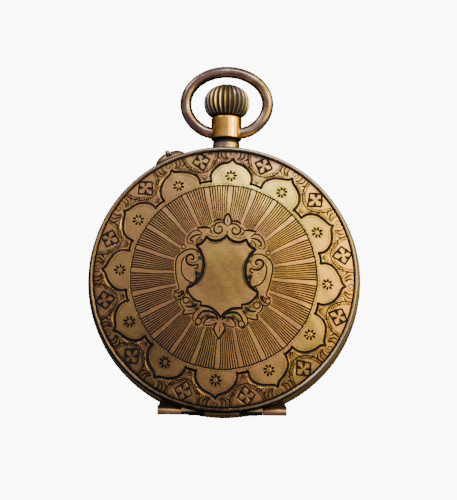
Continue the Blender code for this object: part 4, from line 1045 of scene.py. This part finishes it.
# %% Close the lid
def build_lid():
    top = turned_to_pendant(flat_points)
    places = [(x, y, z) for (x, y), z in zip(top, dome(flat_radius) - depth_all)]
    faces = [tuple(f) for f in triangles]
    values = list(zip(dirt_and_shade, warmth))
    ring = [k for k in range(len(places)) if flat_radius[k] > RIM_R - 0.01]
    ring.sort(key=lambda k: math.atan2(places[k][1], places[k][0]))
    angles = [math.atan2(places[k][1], places[k][0]) for k in ring]
    count = len(ring)
    for r, z, dirt in RIM_PROFILE + [(r, dome(r, INSIDE_APEX, INSIDE_DOME_R), 0.0) for r in INSIDE_RADII]:
        after = range(len(places), len(places) + count)
        for a in angles:
            x, y = r * math.cos(a), r * math.sin(a)
            clear = abs(x) < KNUCKLE_CLEAR_X and y < 0 and z < KNUCKLE_CLEAR_Z
            places.append((x, y, KNUCKLE_CLEAR_Z if clear else z))
            values.append((rim_soil(a, dirt), RIM_WARMTH))
        faces.extend((ring[k], after[k], after[(k + 1) % count], ring[(k + 1) % count]) for k in range(count))
        ring = after
    faces.extend((ring[k], len(places), ring[(k + 1) % count]) for k in range(count))
    places.append((0, 0, dome(0, INSIDE_APEX, INSIDE_DOME_R)))
    values.append((0, INSIDE_WARMTH))
    mesh = bpy.data.meshes.new("engraved_back")
    mesh.from_pydata([Vector(p) * MM for p in places], [], faces)
    for column, label in enumerate(("dirt_and_shade", "warmth")):
        layer = mesh.attributes.new(label, "FLOAT", "POINT")
        layer.data.foreach_set("value", np.array([v[column] for v in values], np.float32))
    item = bpy.data.objects.new("engraved_back", mesh)
    bpy.context.collection.objects.link(item)
    edit_all(item)
    face_outwards()
    return item


lid = build_lid()
finish(lid, "back_cover", lid_metal, ["back_cover"], angle=16)
second_material(lid, rim_metal, lambda x, y, z: math.hypot(x, y) > RIM_R + 0.01)
print("triangles in the lid:", sum(len(f.vertices) - 2 for f in lid.data.polygons))

# %% [markdown]
# ## Turned parts
# The band, the bezel, the pendant and the crown were all turned on a lathe, so they are
# made the same way here: one vertex is extruded along half of the section, its corners are
# bevelled, and the line is spun round the axis.


# %% A lathe
def draw(name, points, closed=False):
    """Extrudes one vertex through the points, which are in millimetres, and stays in edit mode."""
    deselect()
    bpy.ops.mesh.primitive_plane_add(size=0.001)
    item = named(name)
    bpy.ops.object.mode_set(mode="EDIT")
    bpy.ops.mesh.merge(type="CENTER")
    path = [Vector(p) * MM for p in points] + ([Vector(points[0]) * MM] if closed else [])
    bpy.ops.transform.translate(value=path[0])
    for before, after in zip(path, path[1:]):
        bpy.ops.mesh.extrude_vertices_move(TRANSFORM_OT_translate={"value": after - before})
    bpy.ops.mesh.select_all(action="SELECT")
    bpy.ops.mesh.remove_doubles(threshold=0.001 * MM)
    return item


def lathe(name, profile, steps=144, soften=0.1, along="Z", at=(0, 0, 0), closed=False):
    """A body of revolution. profile is (radius, place along the axis) in mm, and soften is
    how far its corners are rounded."""
    ways = {"Z": ((1, 0, 0), (0, 0, 1)), "Y": ((1, 0, 0), (0, 1, 0)), "X": ((0, 1, 0), (1, 0, 0))}
    out, axis = (Vector(v) for v in ways[along])
    centre = Vector(at)
    item = draw(name, [centre + r * out + h * axis for r, h in profile], closed)
    if soften:
        bpy.ops.mesh.bevel(offset=soften * MM, segments=2, affect="VERTICES", clamp_overlap=True)
    bpy.ops.mesh.select_all(action="SELECT")
    bpy.ops.mesh.spin(steps=steps, angle=FULL, center=centre * MM, axis=axis)
    bpy.ops.mesh.select_all(action="SELECT")
    bpy.ops.mesh.remove_doubles(threshold=0.002 * MM)
    face_outwards()
    return item


def lay_soil(item, amount, label="dirt_and_shade"):
    """Stores a value for each vertex: by default its dirt and painted shade, and with another label its warmth,
    which can hold a painted highlight. amount is asked with x, y and z in mm.
    """
    layer = item.data.attributes.new(label, "FLOAT", "POINT")
    layer.data.foreach_set("value", [float(amount(*(vertex.co / MM))) for vertex in item.data.vertices])


# %% [markdown]
# Notches, holes and lugs are cut out or joined on by boolean modifiers, which are applied
# at once. A flat part is drawn by its corners and then given its thickness.


# %% Cutters and plates
def box_cutter(name, low, high):
    deselect()
    low, high = Vector(low) * MM, Vector(high) * MM
    bpy.ops.mesh.primitive_cube_add(size=1, location=(low + high) / 2)
    cutter = named(name)
    cutter.scale = high - low
    bpy.ops.object.transform_apply(location=True, scale=True)
    return cutter


def rod_cutter(name, radius, start, end, count=32):
    """A cylinder from start to end."""
    deselect()
    start, end = Vector(start) * MM, Vector(end) * MM
    way, middle = end - start, (start + end) / 2
    bpy.ops.mesh.primitive_cylinder_add(vertices=count, radius=radius * MM, depth=way.length, location=middle)
    cutter = named(name)
    cutter.rotation_euler = way.to_track_quat("Z", "Y").to_euler()
    bpy.ops.object.transform_apply(location=True, rotation=True)
    return cutter


def cut_with(item, *cutters, operation="DIFFERENCE"):
    """Cuts each of these out of the item, or joins it on, and takes it away."""
    for cutter in cutters:
        only(item)
        modifier = item.modifiers.new("cut", "BOOLEAN")
        modifier.operation, modifier.solver, modifier.object = operation, "EXACT", cutter
        bpy.ops.object.modifier_apply(modifier=modifier.name)
        bpy.data.objects.remove(cutter)
    return item


def unite(item, *others):
    return cut_with(item, *others, operation="UNION")


def plate(name, corners, bottom, thick):
    """A flat plate with these corners, all in mm."""
    item = draw(name, [(x, y, bottom) for x, y in corners], closed=True)
    bpy.ops.mesh.edge_face_add()
    bpy.ops.mesh.extrude_region_move(TRANSFORM_OT_translate={"value": (0, 0, thick * MM)})
    face_outwards()
    return item


# %% [markdown]
# ## The band
# The middle of the case is a plain polished ring. Its edge under the lid is dark, because
# dirt collects there. It has two notches for the hinges and two holes, for the stem and
# for the pin that sets the hands.

# %% The band
STEM_Z, HINGE_Y, HINGE_Z, HINGE_HALF = 6.3, -24.2, 9.1, 11.75
# the setting pin: its height, its angle from the pendant towards -X, and its hole
PIN_Z, PIN_ANGLE, PIN_HOLE_R = 7.2, math.radians(24.2), 0.55
PIN_WAY = Vector((-math.sin(PIN_ANGLE), math.cos(PIN_ANGLE), 0))
OVER_BAND_R = 25.1  # a hair outside the band, whose widest radius is 25
LOW_HINGE_Y, LOW_HINGE_Z, LOW_HINGE_HALF = -23.7, 2.95, 6.4
band_profile = [
    (22.5, 10.05), (22.5, 9.6), (24.2, 9.6), (24.75, 9.0), (25.0, 8.0), (25.0, 5.1), (24.75, 4.1), (24.2, 3.45),
    (22.6, 3.45), (22.6, 2.5), (22.0, 2.5), (22.0, 6.2), (21.2, 6.2), (21.2, 7.0), (21.9, 7.0), (21.9, 10.05),
]  # fmt: skip
band = lathe("case_band", band_profile, steps=160, soften=0.08, closed=True)
NOTCH_PLAY = 0.15
half, low_half = HINGE_HALF + NOTCH_PLAY, LOW_HINGE_HALF + NOTCH_PLAY
pin_point = Vector((0, 0, PIN_Z))
# the bezel's notch is high enough to leave room for the opened bezel
cut_with(
    band,
    box_cutter("cover_notch", (-half, -27, 8.3), (half, -23.4, 11)),
    box_cutter("bezel_notch", (-low_half, -27, 2), (low_half, -23.05, 3.9)),
    rod_cutter("stem_hole", 1.75, (0, 20, STEM_Z), (0, 27, STEM_Z)),
    rod_cutter("pin_hole", PIN_HOLE_R, pin_point + 20 * PIN_WAY, pin_point + 27 * PIN_WAY),
)
finish(band, "case", plain_brass, ["case_middle"])

# %% [markdown]
# ## The pendant and its collar
# The pendant is a slightly waisted sleeve above a narrow collar. The bow's two ends sit in
# its sides. Its lower edge is undercut, and the undercut is painted black as its shade.

# %% The pendant
COLLAR_TOP, UNDERCUT_LOW, UNDERCUT_HIGH = 26.9, 26.3, 26.95
pendant_profile = [
    (0.85, 31.25), (2.4, 31.25), (2.72, 31.14), (2.86, 30.8), (2.83, 29.6), (2.8, 28.6), (2.83, 27.7),
    (2.88, 27.1), (2.74, 26.85), (2.3, 26.75), (2.22, 26.5), (2.48, 26.4), (2.53, 25.9), (2.48, 25.3),
    (2.53, 25.12), (1.6, 25.12), (1.6, 22.3), (0.85, 22.3),
]  # fmt: skip
pendant = lathe("pendant_sleeve", pendant_profile, 72, 0.06, "Y", (0, 0, STEM_Z), closed=True)
BOW_Y, WIRE_R = 28.3, 1.1
for side in (-1, 1):
    socket = rod_cutter("socket", WIRE_R + 0.1, (side * 2.05, BOW_Y, STEM_Z), (side * 4, BOW_Y, STEM_Z))
    cut_with(pendant, socket)


def ramp(value, start, length):
    """0 up to the start, then rising to 1 over this length."""
    return min(1, max(0, (value - start) / length))


def pendant_soil(x, y, z):
    """Thin dirt on the collar, black painted shade in the undercut, painted shade down both sides of the
    sleeve, and darker at the top.
    """
    if y < UNDERCUT_LOW:
        return 0.2
    if y < UNDERCUT_HIGH:
        return 1.5
    return 0.3 * ramp(-x, -0.2, 2.6) + 0.2 * ramp(x, 1.7, 1.0) + (0.3 if y > 31.0 else 0)


lay_soil(pendant, pendant_soil)
finish(pendant, "case", sleeve_brass, ["pendant"])
second_material(pendant, collar_brass, lambda x, y, z: y < COLLAR_TOP)

# %% [markdown]
# ## The bow
# The bow is one thick wire bent to a wide oval. A curve with a round section follows it,
# and is made a mesh. Its ends turn in the pendant, so it rides on its own body.

# %% The bow
BOW_HALF, BOW_RISE, BOW_MEAN = 7.63, 6.15, 6.9  # the oval's half axes, and their mean
BOW_REACH = 11.62  # from the wire's ends to its crown
BOW_CENTRE = BOW_Y + BOW_REACH - BOW_RISE


def make_bow():
    start = math.asin((BOW_Y - BOW_CENTRE + 0.35) / BOW_RISE)
    angles = np.linspace(start, math.pi - start, 96)
    arch = [(BOW_HALF * math.cos(a), BOW_CENTRE + BOW_RISE * math.sin(a)) for a in angles]
    end = [(2.12, BOW_Y), (2.6, BOW_Y - 0.02), (3.1, BOW_Y - 0.05)]
    path = end + arch + [(-x, y) for x, y in reversed(end)]
    curve = bpy.data.curves.new("bow_wire", "CURVE")
    curve.dimensions, curve.bevel_depth, curve.bevel_resolution = "3D", (WIRE_R - 0.02) * MM, 7
    curve.use_fill_caps = True
    run = curve.splines.new("POLY")
    run.points.add(len(path) - 1)
    for point, (x, y) in zip(run.points, path):
        point.co = (x * MM, y * MM, STEM_Z * MM, 1)
    item = bpy.data.objects.new("bow_wire", curve)
    bpy.context.collection.objects.link(item)
    only(item)
    bpy.ops.object.convert(target="MESH")
    item = bpy.context.object
    edit_all(item)
    bpy.ops.mesh.remove_doubles(threshold=0.001 * MM)
    face_outwards()
    return item


def off_wire(x, y):
    """About how far inside the middle line of the wire this place is, in mm."""
    return (1 - math.hypot(x / BOW_HALF, (y - BOW_CENTRE) / BOW_RISE)) * BOW_MEAN


def bow_soil(x, y, z):
    """Painted shade inside the bow's ring and underneath it."""
    return 0.55 * ramp(off_wire(x, y), 0.35, 1) + 0.8 * ramp(-z, -STEM_Z, 0.5)


def bow_warmth(x, y, z):
    """A painted highlight runs as a bright streak along the wire's crown, and its lower right quarter is
    golden.
    """
    place = 0.05 + 0.25 * ramp(x, 0, 4)
    painted_highlight = math.exp(-(((off_wire(x, y) - place) / 0.15) ** 2)) if z > STEM_Z else 0
    golden = ramp(x, 3.0, 3.0) * ramp(-y, -BOW_Y - 5, 3.0)
    return 1.2 - 0.7 * painted_highlight - 0.5 * golden


bow = make_bow()
lay_soil(bow, bow_soil)
lay_soil(bow, bow_warmth, "warmth")
finish(bow, "bow", bronze, ["bow"], angle=50)

# %% [markdown]
# ## The crown
# The crown is a bulb with twenty-seven round ribs, so that finger and thumb can wind it.
# The plain bulb is turned first, with eight steps for each rib, and the vertices between
# the ribs are then drawn in towards the axis. The ribs run out at both ends.

# %% The crown
CROWN_START, RIBS = 31.4, 27
GROOVE = 0.11  # how far a groove is drawn in, as a share of its radius
STEM_R, STEM_END = 0.68, 35.0  # the hole that takes the stem
bulb = [
    (STEM_R, 0.0), (2.7, 0.0), (3.1, 0.04), (3.36, 0.22), (3.62, 0.5), (3.86, 0.85), (4.1, 1.35),
    (4.24, 1.95), (4.29, 2.6), (4.24, 3.2), (4.08, 3.75), (3.78, 4.3), (3.36, 4.8), (2.82, 5.25),
    (2.2, 5.6), (1.6, 5.85), (1.0, 6.0), (0.55, 6.06), (0, 6.08),
]  # fmt: skip
crown_section = [(r, CROWN_START + h) for r, h in bulb] + [(0, STEM_END), (STEM_R, STEM_END)]
crown = lathe("crown_bulb", crown_section, RIBS * 8, 0, "Y", (0, 0, STEM_Z), closed=True)


def valley(x, z):
    """How deep this place lies between two ribs, from 0 on a rib to 1."""
    return ramp(math.hypot(x, z), 0.75, 1.3) * abs(math.sin(RIBS / 2 * math.atan2(z, x))) ** 1.3


def crown_soil(x, y, z):
    """The dirt fills the grooves, and painted shade darkens both sides and the foot a little."""
    foot = 0.15 * ramp(-y, -CROWN_START - 1.8, 1.6)
    return 1.7 * max(0, valley(x, z - STEM_Z) - 0.2) + 0.22 * ramp(abs(x), 1.4, 2.6) + foot


lay_soil(crown, crown_soil)
for vertex in crown.data.vertices:
    x, z = vertex.co.x / MM, vertex.co.z / MM - STEM_Z
    if math.hypot(x, z) > STEM_R + 0.02:
        share = 1 - GROOVE * valley(x, z)
        vertex.co.x, vertex.co.z = x * share * MM, (z * share + STEM_Z) * MM
finish(crown, "crown", rib_bronze, ["crown"], angle=60)


# %% [markdown]
# ## The pin guard and the setting pin
# The hands of this watch are set by pushing a small pin with a fingernail while the crown
# is turned. A guard like a flattened bead, cut through in the middle, keeps the pin from
# being pushed by chance.

# %% Guard and pin
GUARD_R, GUARD_HALF, GUARD_LOWER = 24.9, (3.0, 1.65, 1.75), 0.2


def make_guard():
    """A bead that is cut to sit on the band, with a slot and the pin's hole through it."""
    deselect()
    spot = GUARD_R * PIN_WAY
    bpy.ops.mesh.primitive_uv_sphere_add(segments=48, ring_count=24, radius=1)
    item = named("pin_guard_bead")
    item.scale = [half * MM for half in GUARD_HALF]
    item.rotation_euler = (0, 0, PIN_ANGLE)
    item.location = (spot.x * MM, spot.y * MM, (PIN_Z - GUARD_LOWER) * MM)
    bpy.ops.object.transform_apply(location=True, rotation=True, scale=True)
    slot_cut = box_cutter("slot", (-0.5, 25.4, PIN_Z - 4), (0.5, 30, PIN_Z + 4))
    turn_mesh(slot_cut, PIN_ANGLE)
    return cut_with(
        item,
        rod_cutter("saddle", OVER_BAND_R, (0, 0, 0), (0, 0, 14), 256),
        slot_cut,
        rod_cutter("hole", PIN_HOLE_R, pin_point + 20 * PIN_WAY, pin_point + 30 * PIN_WAY),
    )


guard = make_guard()
finish(guard, "case", grime_and_shade_brass, ["pin_guard"])
pin_profile = [(0, 27.0), (0.2, 26.98), (0.36, 26.88), (0.45, 26.66), (0.45, 21.75), (0, 21.75)]
pin = lathe("setting_pin_shaft", pin_profile, 32, 0.03, "Y", (0, 0, PIN_Z))
turn_mesh(pin, PIN_ANGLE)
finish(pin, "setting_pin", grime_and_shade_brass, ["setting_pin"])
for label, corner in (("piece", pin.bound_box[0]), ("CAD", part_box("setting_pin")[0])):
    print("low corner of the pin,", label, [round(v / MM, 2) for v in corner])

# %% [markdown]
# ## The cover's hinge
# Five knuckles share one pin along the lower edge: two on the case at the ends, two on the
# inner cover, and one in the middle on the engraved back. The case's knuckles stand on
# tabs that were filed flush with the band, and their copper shows through the gilding. The
# tabs and the hinge side of the inner cover are painted near black as the shade of the deep
# well.

# %% Cover hinge
KNUCKLE_R, LOW_KNUCKLE_R, BORE_R = 0.7, 0.55, 0.4


def knuckle(name, start, end, radius=KNUCKLE_R, y=HINGE_Y, z=HINGE_Z):
    """A tube along the hinge."""
    section = [(BORE_R, start), (radius, start), (radius, end), (BORE_R, end)]
    return lathe(name, section, 40, 0.02, "X", (0, y, z), closed=True)


TAB_Y, TAB_INNER_Y = HINGE_Y + 0.42, -21.4
copper = metal("bare_copper_hinge", (0.52, 0.29, 0.16), (0.33, 0.17, 0.09), SOOT_AND_SHADE, dirt=0.05, warmth=0.3,
               patch=400.0, polish=0.34, shade_reach=0.0005)  # fmt: skip
# near black for the tabs and the inner cover's hinge side: painted shade of the hinge's deep well
well_shade = metal("painted_shade_hinge_well", (0.16, 0.1, 0.05), (0.06, 0.035, 0.02), SOOT_AND_SHADE, dirt=0.55, warmth=0.5,
              patch=500.0, polish=0.45)  # fmt: skip
for side, low, high in (("right", 7.33, HINGE_HALF), ("left", -HINGE_HALF, -7.33)):
    barrel = knuckle(f"hinge_{side}", low, high)
    outer, inner = (high, low) if side == "right" else (low, high)
    slant = outer - math.copysign(1.1, outer)
    corners = [(inner, TAB_INNER_Y), (inner, TAB_Y), (outer, TAB_Y), (outer, TAB_Y + 0.35)]
    corners.append((slant, TAB_INNER_Y))
    tab = plate(f"hinge_tab_{side}", corners, 8.5, 0.7)
    cut_with(tab, rod_cutter("band_round", OVER_BAND_R, (0, 0, 6), (0, 0, 12), 192))
    finish(barrel, "case", copper, [f"hinge_knuckle_{side}"])
    # the tab is near black, painted shade of the well
    finish(tab, "case", well_shade)
lug = box_cutter("lug", (-3.0, HINGE_Y - 0.3, 9.55), (3.0, HINGE_Y + 0.3, 10.2))
middle = unite(knuckle("hinge_middle", -3.12, 3.12), lug)
finish(middle, "back_cover", copper)

# %% [markdown]
# ## The inner cover
# Under the engraved back lies a thin, nearly flat cover against dust, polished and gilt
# like the inside of the back. It has its own two knuckles on the same pin.

# %% Inner cover
cuvette_profile = [
    (0, 10.75), (6, 10.73), (12, 10.67), (18, 10.57), (22.4, 10.475), (22.9, 10.42), (23.1, 10.3), (23.1, 9.75),
    (22.7, 9.75), (22.7, 10.15), (21.6, 10.161), (12, 10.34), (0, 10.42),
]  # fmt: skip
HINGE_SIDE_Y = -23.15  # beyond this lie the leaves and the knuckles
cuvette = lathe("inner_cover", cuvette_profile, 128, 0)
for low, high in ((3.13, 7.32), (-7.32, -3.13)):
    leaf = box_cutter("leaf", (low, HINGE_Y - 0.1, 9.66), (high, -21.9, 9.88))
    cut_with(leaf, rod_cutter("well", 22.75, (0, 0, 9), (0, 0, 12), 128))
    unite(cuvette, leaf, knuckle("inner_cover_knuckle", low, high))
finish(cuvette, "cuvette", inner_brass, ["cuvette"])
# the hinge side of the inner cover gets the painted shade of the well
second_material(cuvette, well_shade, lambda x, y, z: y < HINGE_SIDE_Y)

# %% [markdown]
# ## Bezel and crystal
# These lie on the floor in this view. The bezel turns on a small hinge of its own, snaps
# over the lower edge of the band and holds a thick bevelled crystal.

# %% Bezel
bezel_profile = [
    (24.3, 3.3), (24.52, 3.0), (24.55, 2.6), (24.4, 2.1), (24.0, 1.6), (23.4, 1.15), (22.8, 0.85),
    (22.0, 0.55), (21.3, 0.38), (21.05, 0.45), (21.05, 1.35), (20.4, 1.35), (20.4, 1.7), (22.75, 2.3),
    (22.75, 3.3),
]  # fmt: skip
bezel = lathe("bezel_ring", bezel_profile, 160, 0.05, closed=True)
half = LOW_HINGE_HALF + 0.2
cut_with(bezel, box_cutter("bezel_cut", (-half, -27, 2.3), (half, -23.05, 4)))
lug = box_cutter("lug", (-2.3, LOW_HINGE_Y - 0.2, 1.9), (2.3, -22.9, 2.6))
low_hinge = (LOW_KNUCKLE_R, LOW_HINGE_Y, LOW_HINGE_Z)
unite(bezel, lug, knuckle("bezel_middle_knuckle", -2.4, 2.4, *low_hinge))
finish(bezel, "bezel", plain_brass, ["bezel"])
for side, low, high in (("right", 2.55, LOW_HINGE_HALF), ("left", -LOW_HINGE_HALF, -2.55)):
    barrel = knuckle(f"bezel_hinge_{side}", low, high, *low_hinge)
    finish(barrel, "case", copper, [f"bezel_knuckle_{side}"])

# %% [markdown]
# The crystal is thick glass, ground flat in the middle with a slanting edge. A flat disc
# would do from far away, but the bevel catches a ring of light, so its section is turned
# like the case. Hairline scratches make the glass a little rough in places.

# %% Crystal
glass, tree, shader = new_material(
    "bevelled_crystal", Base_Color=(0.97, 0.985, 0.98, 1), Transmission_Weight=1.0, IOR=1.5
)
hairlines = noise(tree, object_place(tree), 700.0, 6.0, 2.0)
tree.links.new(stretch(tree, hairlines, 0.5, 0.72, 0.01, 0.06), shader.inputs["Roughness"])
crystal_profile = [
    (0, 1.2), (20.8, 1.2), (20.9, 1.1), (20.9, 0.95), (20.5, 0.42), (19.3, 0.02), (19.1, 0.0), (0, 0),
]  # fmt: skip
crystal = lathe("bevelled_glass", crystal_profile, 144, 0)
finish(crystal, "bezel", glass, ["crystal"])

# %% [markdown]
# ## The dial
# The dial is white enamel, fired on copper, with painted Roman hours and a railway track of
# minutes. The painting is a few hundredths of a millimetre thick. It is read from below,
# where three o'clock lies towards -X.

# %% Enamel
enamel, tree, shader = new_material("fired_enamel", Coat_Weight=0.5)
place = object_place(tree)
cloud = noise(tree, place, 220.0, 4.0)
white = blend_colour(tree, cloud, (0.84, 0.82, 0.76, 1), (0.76, 0.73, 0.65, 1))
# hair cracks, in rare places only
cells = {"Vector": place, "Scale": 260.0}
cracks = node(tree, "ShaderNodeTexVoronoi", cells, feature="DISTANCE_TO_EDGE").outputs[0]
rare = stretch(tree, noise(tree, place, 60.0), 0.56, 0.66)
hair = maths(tree, "MULTIPLY", stretch(tree, cracks, 0.012, 0.004), rare)
cracked = blend_colour(tree, maths(tree, "MULTIPLY", hair, 0.4), white, (0.4, 0.34, 0.27, 1))
tree.links.new(cracked, shader.inputs["Base Color"])
tree.links.new(stretch(tree, cloud, 0.3, 0.7, 0.08, 0.16), shader.inputs["Roughness"])

# %% Paint
paint, tree, shader = new_material("black_enamel_paint")
worn = noise(tree, object_place(tree), 1500.0)
black = blend_colour(tree, worn, (0.008, 0.008, 0.01, 1), (0.03, 0.027, 0.025, 1))
tree.links.new(black, shader.inputs["Base Color"])
tree.links.new(stretch(tree, worn, 0.3, 0.7, 0.2, 0.4), shader.inputs["Roughness"])

# %% [markdown]
# The marks could be a picture laid on the enamel. Thin meshes stay sharp from near by: a bar
# is a flat box, a track is a ring from the lathe, and a numeral is a text object that is made
# a mesh.

# %% Dial marks
DIAL_FACE, PAINT = 2.9, 0.03
SECONDS_FACE, SECONDS_AT = 3.15, (0, -11.0)


def ring_of_paint(radius, width, face, centre=(0, 0), steps=120):
    low, high = radius - width / 2, radius + width / 2
    section = [(low, face), (high, face), (high, face - PAINT), (low, face - PAINT)]
    return lathe("track", section, steps, 0, "Z", (*centre, 0), closed=True)


def bar_of_paint(angle, inner, outer, width, face, centre=(0, 0)):
    """A bar that points away from the centre, at this angle clockwise from twelve as read."""
    bar = box_cutter("bar", (-width / 2, inner, face - PAINT), (width / 2, outer, face))
    turn_mesh(bar, math.radians(angle), centre)
    return bar


def join_all(name, items):
    deselect()
    for item in items:
        item.select_set(True)
    bpy.context.view_layer.objects.active = items[0]
    bpy.ops.object.join()
    return named(name)


def numeral(text, angle, radius, size, face, centre=(0, 0), squeeze=1.0):
    """A painted number, its foot towards the middle of the dial."""
    deselect()
    bpy.ops.object.text_add()
    item = bpy.context.object
    letters = item.data
    letters.body, letters.size, letters.align_x, letters.align_y = text, size * MM, "CENTER", "CENTER"
    letters.extrude, letters.offset = PAINT * MM / 2, 0.02 * MM
    item.scale = (squeeze, 1, 1)
    bpy.ops.object.convert(target="MESH")
    item = bpy.context.object
    bpy.ops.object.transform_apply(scale=True)
    angle = math.radians(angle)
    turn = Matrix.Rotation(angle, 4, "Z") @ Matrix.Rotation(math.pi, 4, "Y")
    way = Vector((-math.sin(angle), math.cos(angle), 0))
    spot = Vector((*centre, 0)) + radius * way + Vector((0, 0, face - PAINT / 2))
    item.data.transform(Matrix.Translation(spot * MM) @ turn)
    return item


# %% Hours and minutes
HOURS = ["XII", "I", "II", "III", "IIII", "V", "VI", "VII", "VIII", "IX", "X", "XI"]
TRACK_IN, TRACK_OUT = 18.9, 20.0
marks = [ring_of_paint(radius, 0.1, DIAL_FACE) for radius in (TRACK_OUT, TRACK_IN)]
for minute in range(60):
    width = 0.34 if minute % 5 == 0 else 0.12
    marks.append(bar_of_paint(6 * minute, TRACK_IN, TRACK_OUT, width, DIAL_FACE))
for hour, text in enumerate(HOURS):
    if text != "VI":  # the seconds dial takes its place
        marks.append(numeral(text, 30 * hour, 15.9, 4.9, DIAL_FACE, squeeze=0.78))
finish(join_all("dial_numerals", marks), "case", paint, angle=0)

# %% Seconds
SECONDS_IN, SECONDS_OUT = 3.7, 4.2
marks = [ring_of_paint(radius, 0.07, SECONDS_FACE, SECONDS_AT, 72) for radius in (SECONDS_OUT, SECONDS_IN)]
for second in range(0, 60, 2):
    width = 0.16 if second % 10 == 0 else 0.07
    marks.append(bar_of_paint(6 * second, SECONDS_IN, SECONDS_OUT, width, SECONDS_FACE, SECONDS_AT))
for second in range(10, 61, 10):
    marks.append(numeral(str(second), 6 * second, 2.85, 1.15, SECONDS_FACE, SECONDS_AT))
finish(join_all("seconds_numerals", marks), "case", paint, angle=0)

# %% [markdown]
# ## The hands
# The hands are blued steel. Each is drawn flat, given its thickness, and its edges are
# bevelled, so that they catch a line of light. The hour hand has the spade of its time.

# %% Hands
def hand(name, body, stands_for, angle, outline, boss, hole, bottom, thick, centre=(0, 0)):
    """outline is (along, half width) from the boss to the tip. angle is clockwise from twelve as
    read, in degrees. boss and hole are radii."""
    ring = [(boss * math.cos(a), boss * math.sin(a)) for a in np.linspace(0.35, FULL - 0.35, 24)]
    sides = [(x, -w) for x, w in outline] + [(x, w) for x, w in reversed(outline)]
    item = plate(name, ring + sides, bottom, thick)
    cut_with(item, rod_cutter("eye", hole, (0, 0, bottom - 1), (0, 0, bottom + 1), 24))
    bevel = item.modifiers.new("edges", "BEVEL")
    bevel.width, bevel.segments, bevel.limit_method = 0.05 * MM, 2, "ANGLE"
    apply_modifiers(item)
    turn_mesh(item, math.radians(90 + angle), centre)
    finish(item, body, blued, [stands_for])
    low, high = np.array(item.bound_box).min(0) / MM, np.array(item.bound_box).max(0) / MM
    cad = [round(v / MM, 2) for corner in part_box(stands_for) for v in corner]
    print(name, low.round(2), high.round(2), "CAD", cad)


hour_shape = [
    (1.9, 0.3), (6.6, 0.24), (7.0, 0.9), (7.6, 1.12), (8.4, 1.0), (9.2, 0.55), (9.9, 0.2), (11.5, 0.07),
]  # fmt: skip
minute_shape = [
    (1.45, 0.26), (10.6, 0.2), (11.0, 0.6), (11.7, 0.8), (12.6, 0.7), (13.5, 0.38), (14.4, 0.16), (16.7, 0.06),
]  # fmt: skip
seconds_shape = [(0.58, 0.1), (2.0, 0.09), (3.85, 0.05)]
hand("hour_spade", "hour", "hour_hand", 305, hour_shape, 1.95, 1.4, 2.05, 0.2)
hand("minute_spade", "centre", "minute_hand", 60, minute_shape, 1.45, 0.9, 1.6, 0.2)
hand("seconds_needle", "fourth", "seconds_hand", 130, seconds_shape, 0.6, 0.32, 2.52, 0.14, SECONDS_AT)

# %% [markdown]
# ## The movement
# Behind the two covers the movement keeps its CAD shapes. The plates and wheels are gilt,
# the keyless work and the pivots are steel, and the screws are blued.

# %% Ruby
ruby, tree, shader = new_material("ruby_jewel", Roughness=0.06, Coat_Weight=0.6)
silk = noise(tree, object_place(tree), 2500.0, 2.0)
red = blend_colour(tree, silk, (0.35, 0.01, 0.04, 1), (0.55, 0.03, 0.09, 1))
tree.links.new(red, shader.inputs["Base Color"])

# %% The CAD parts' materials
STEEL_PARTS = {
    "winding_stem", "winding_pinion", "clutch_wheel", "setting_lever", "setting_wheel", "escape_wheel",
    "pallet_fork", "balance_staff", "barrel_arbor", "ratchet_wheel", "crown_wheel", "crown_wheel_core",
    "click", "cannon_pinion", "mainspring", "cover_hinge_pin", "bezel_hinge_pin",
}  # fmt: skip
BLUED_PARTS = {"hairspring", "click_spring", "regulator"}
for name, item in nodes.items():
    finish_here = gilt
    if name in STEEL_PARTS:
        finish_here = steel
    elif name in BLUED_PARTS or name.endswith("screw") or "case_screw" in name:
        finish_here = blued
    elif name in ("dial", "seconds_dial"):
        finish_here = enamel
    elif name == "cap_jewel_setting":
        finish_here = ruby
    item.data.materials.clear()
    item.data.materials.append(finish_here)
print("CAD parts with a material:", len(nodes))
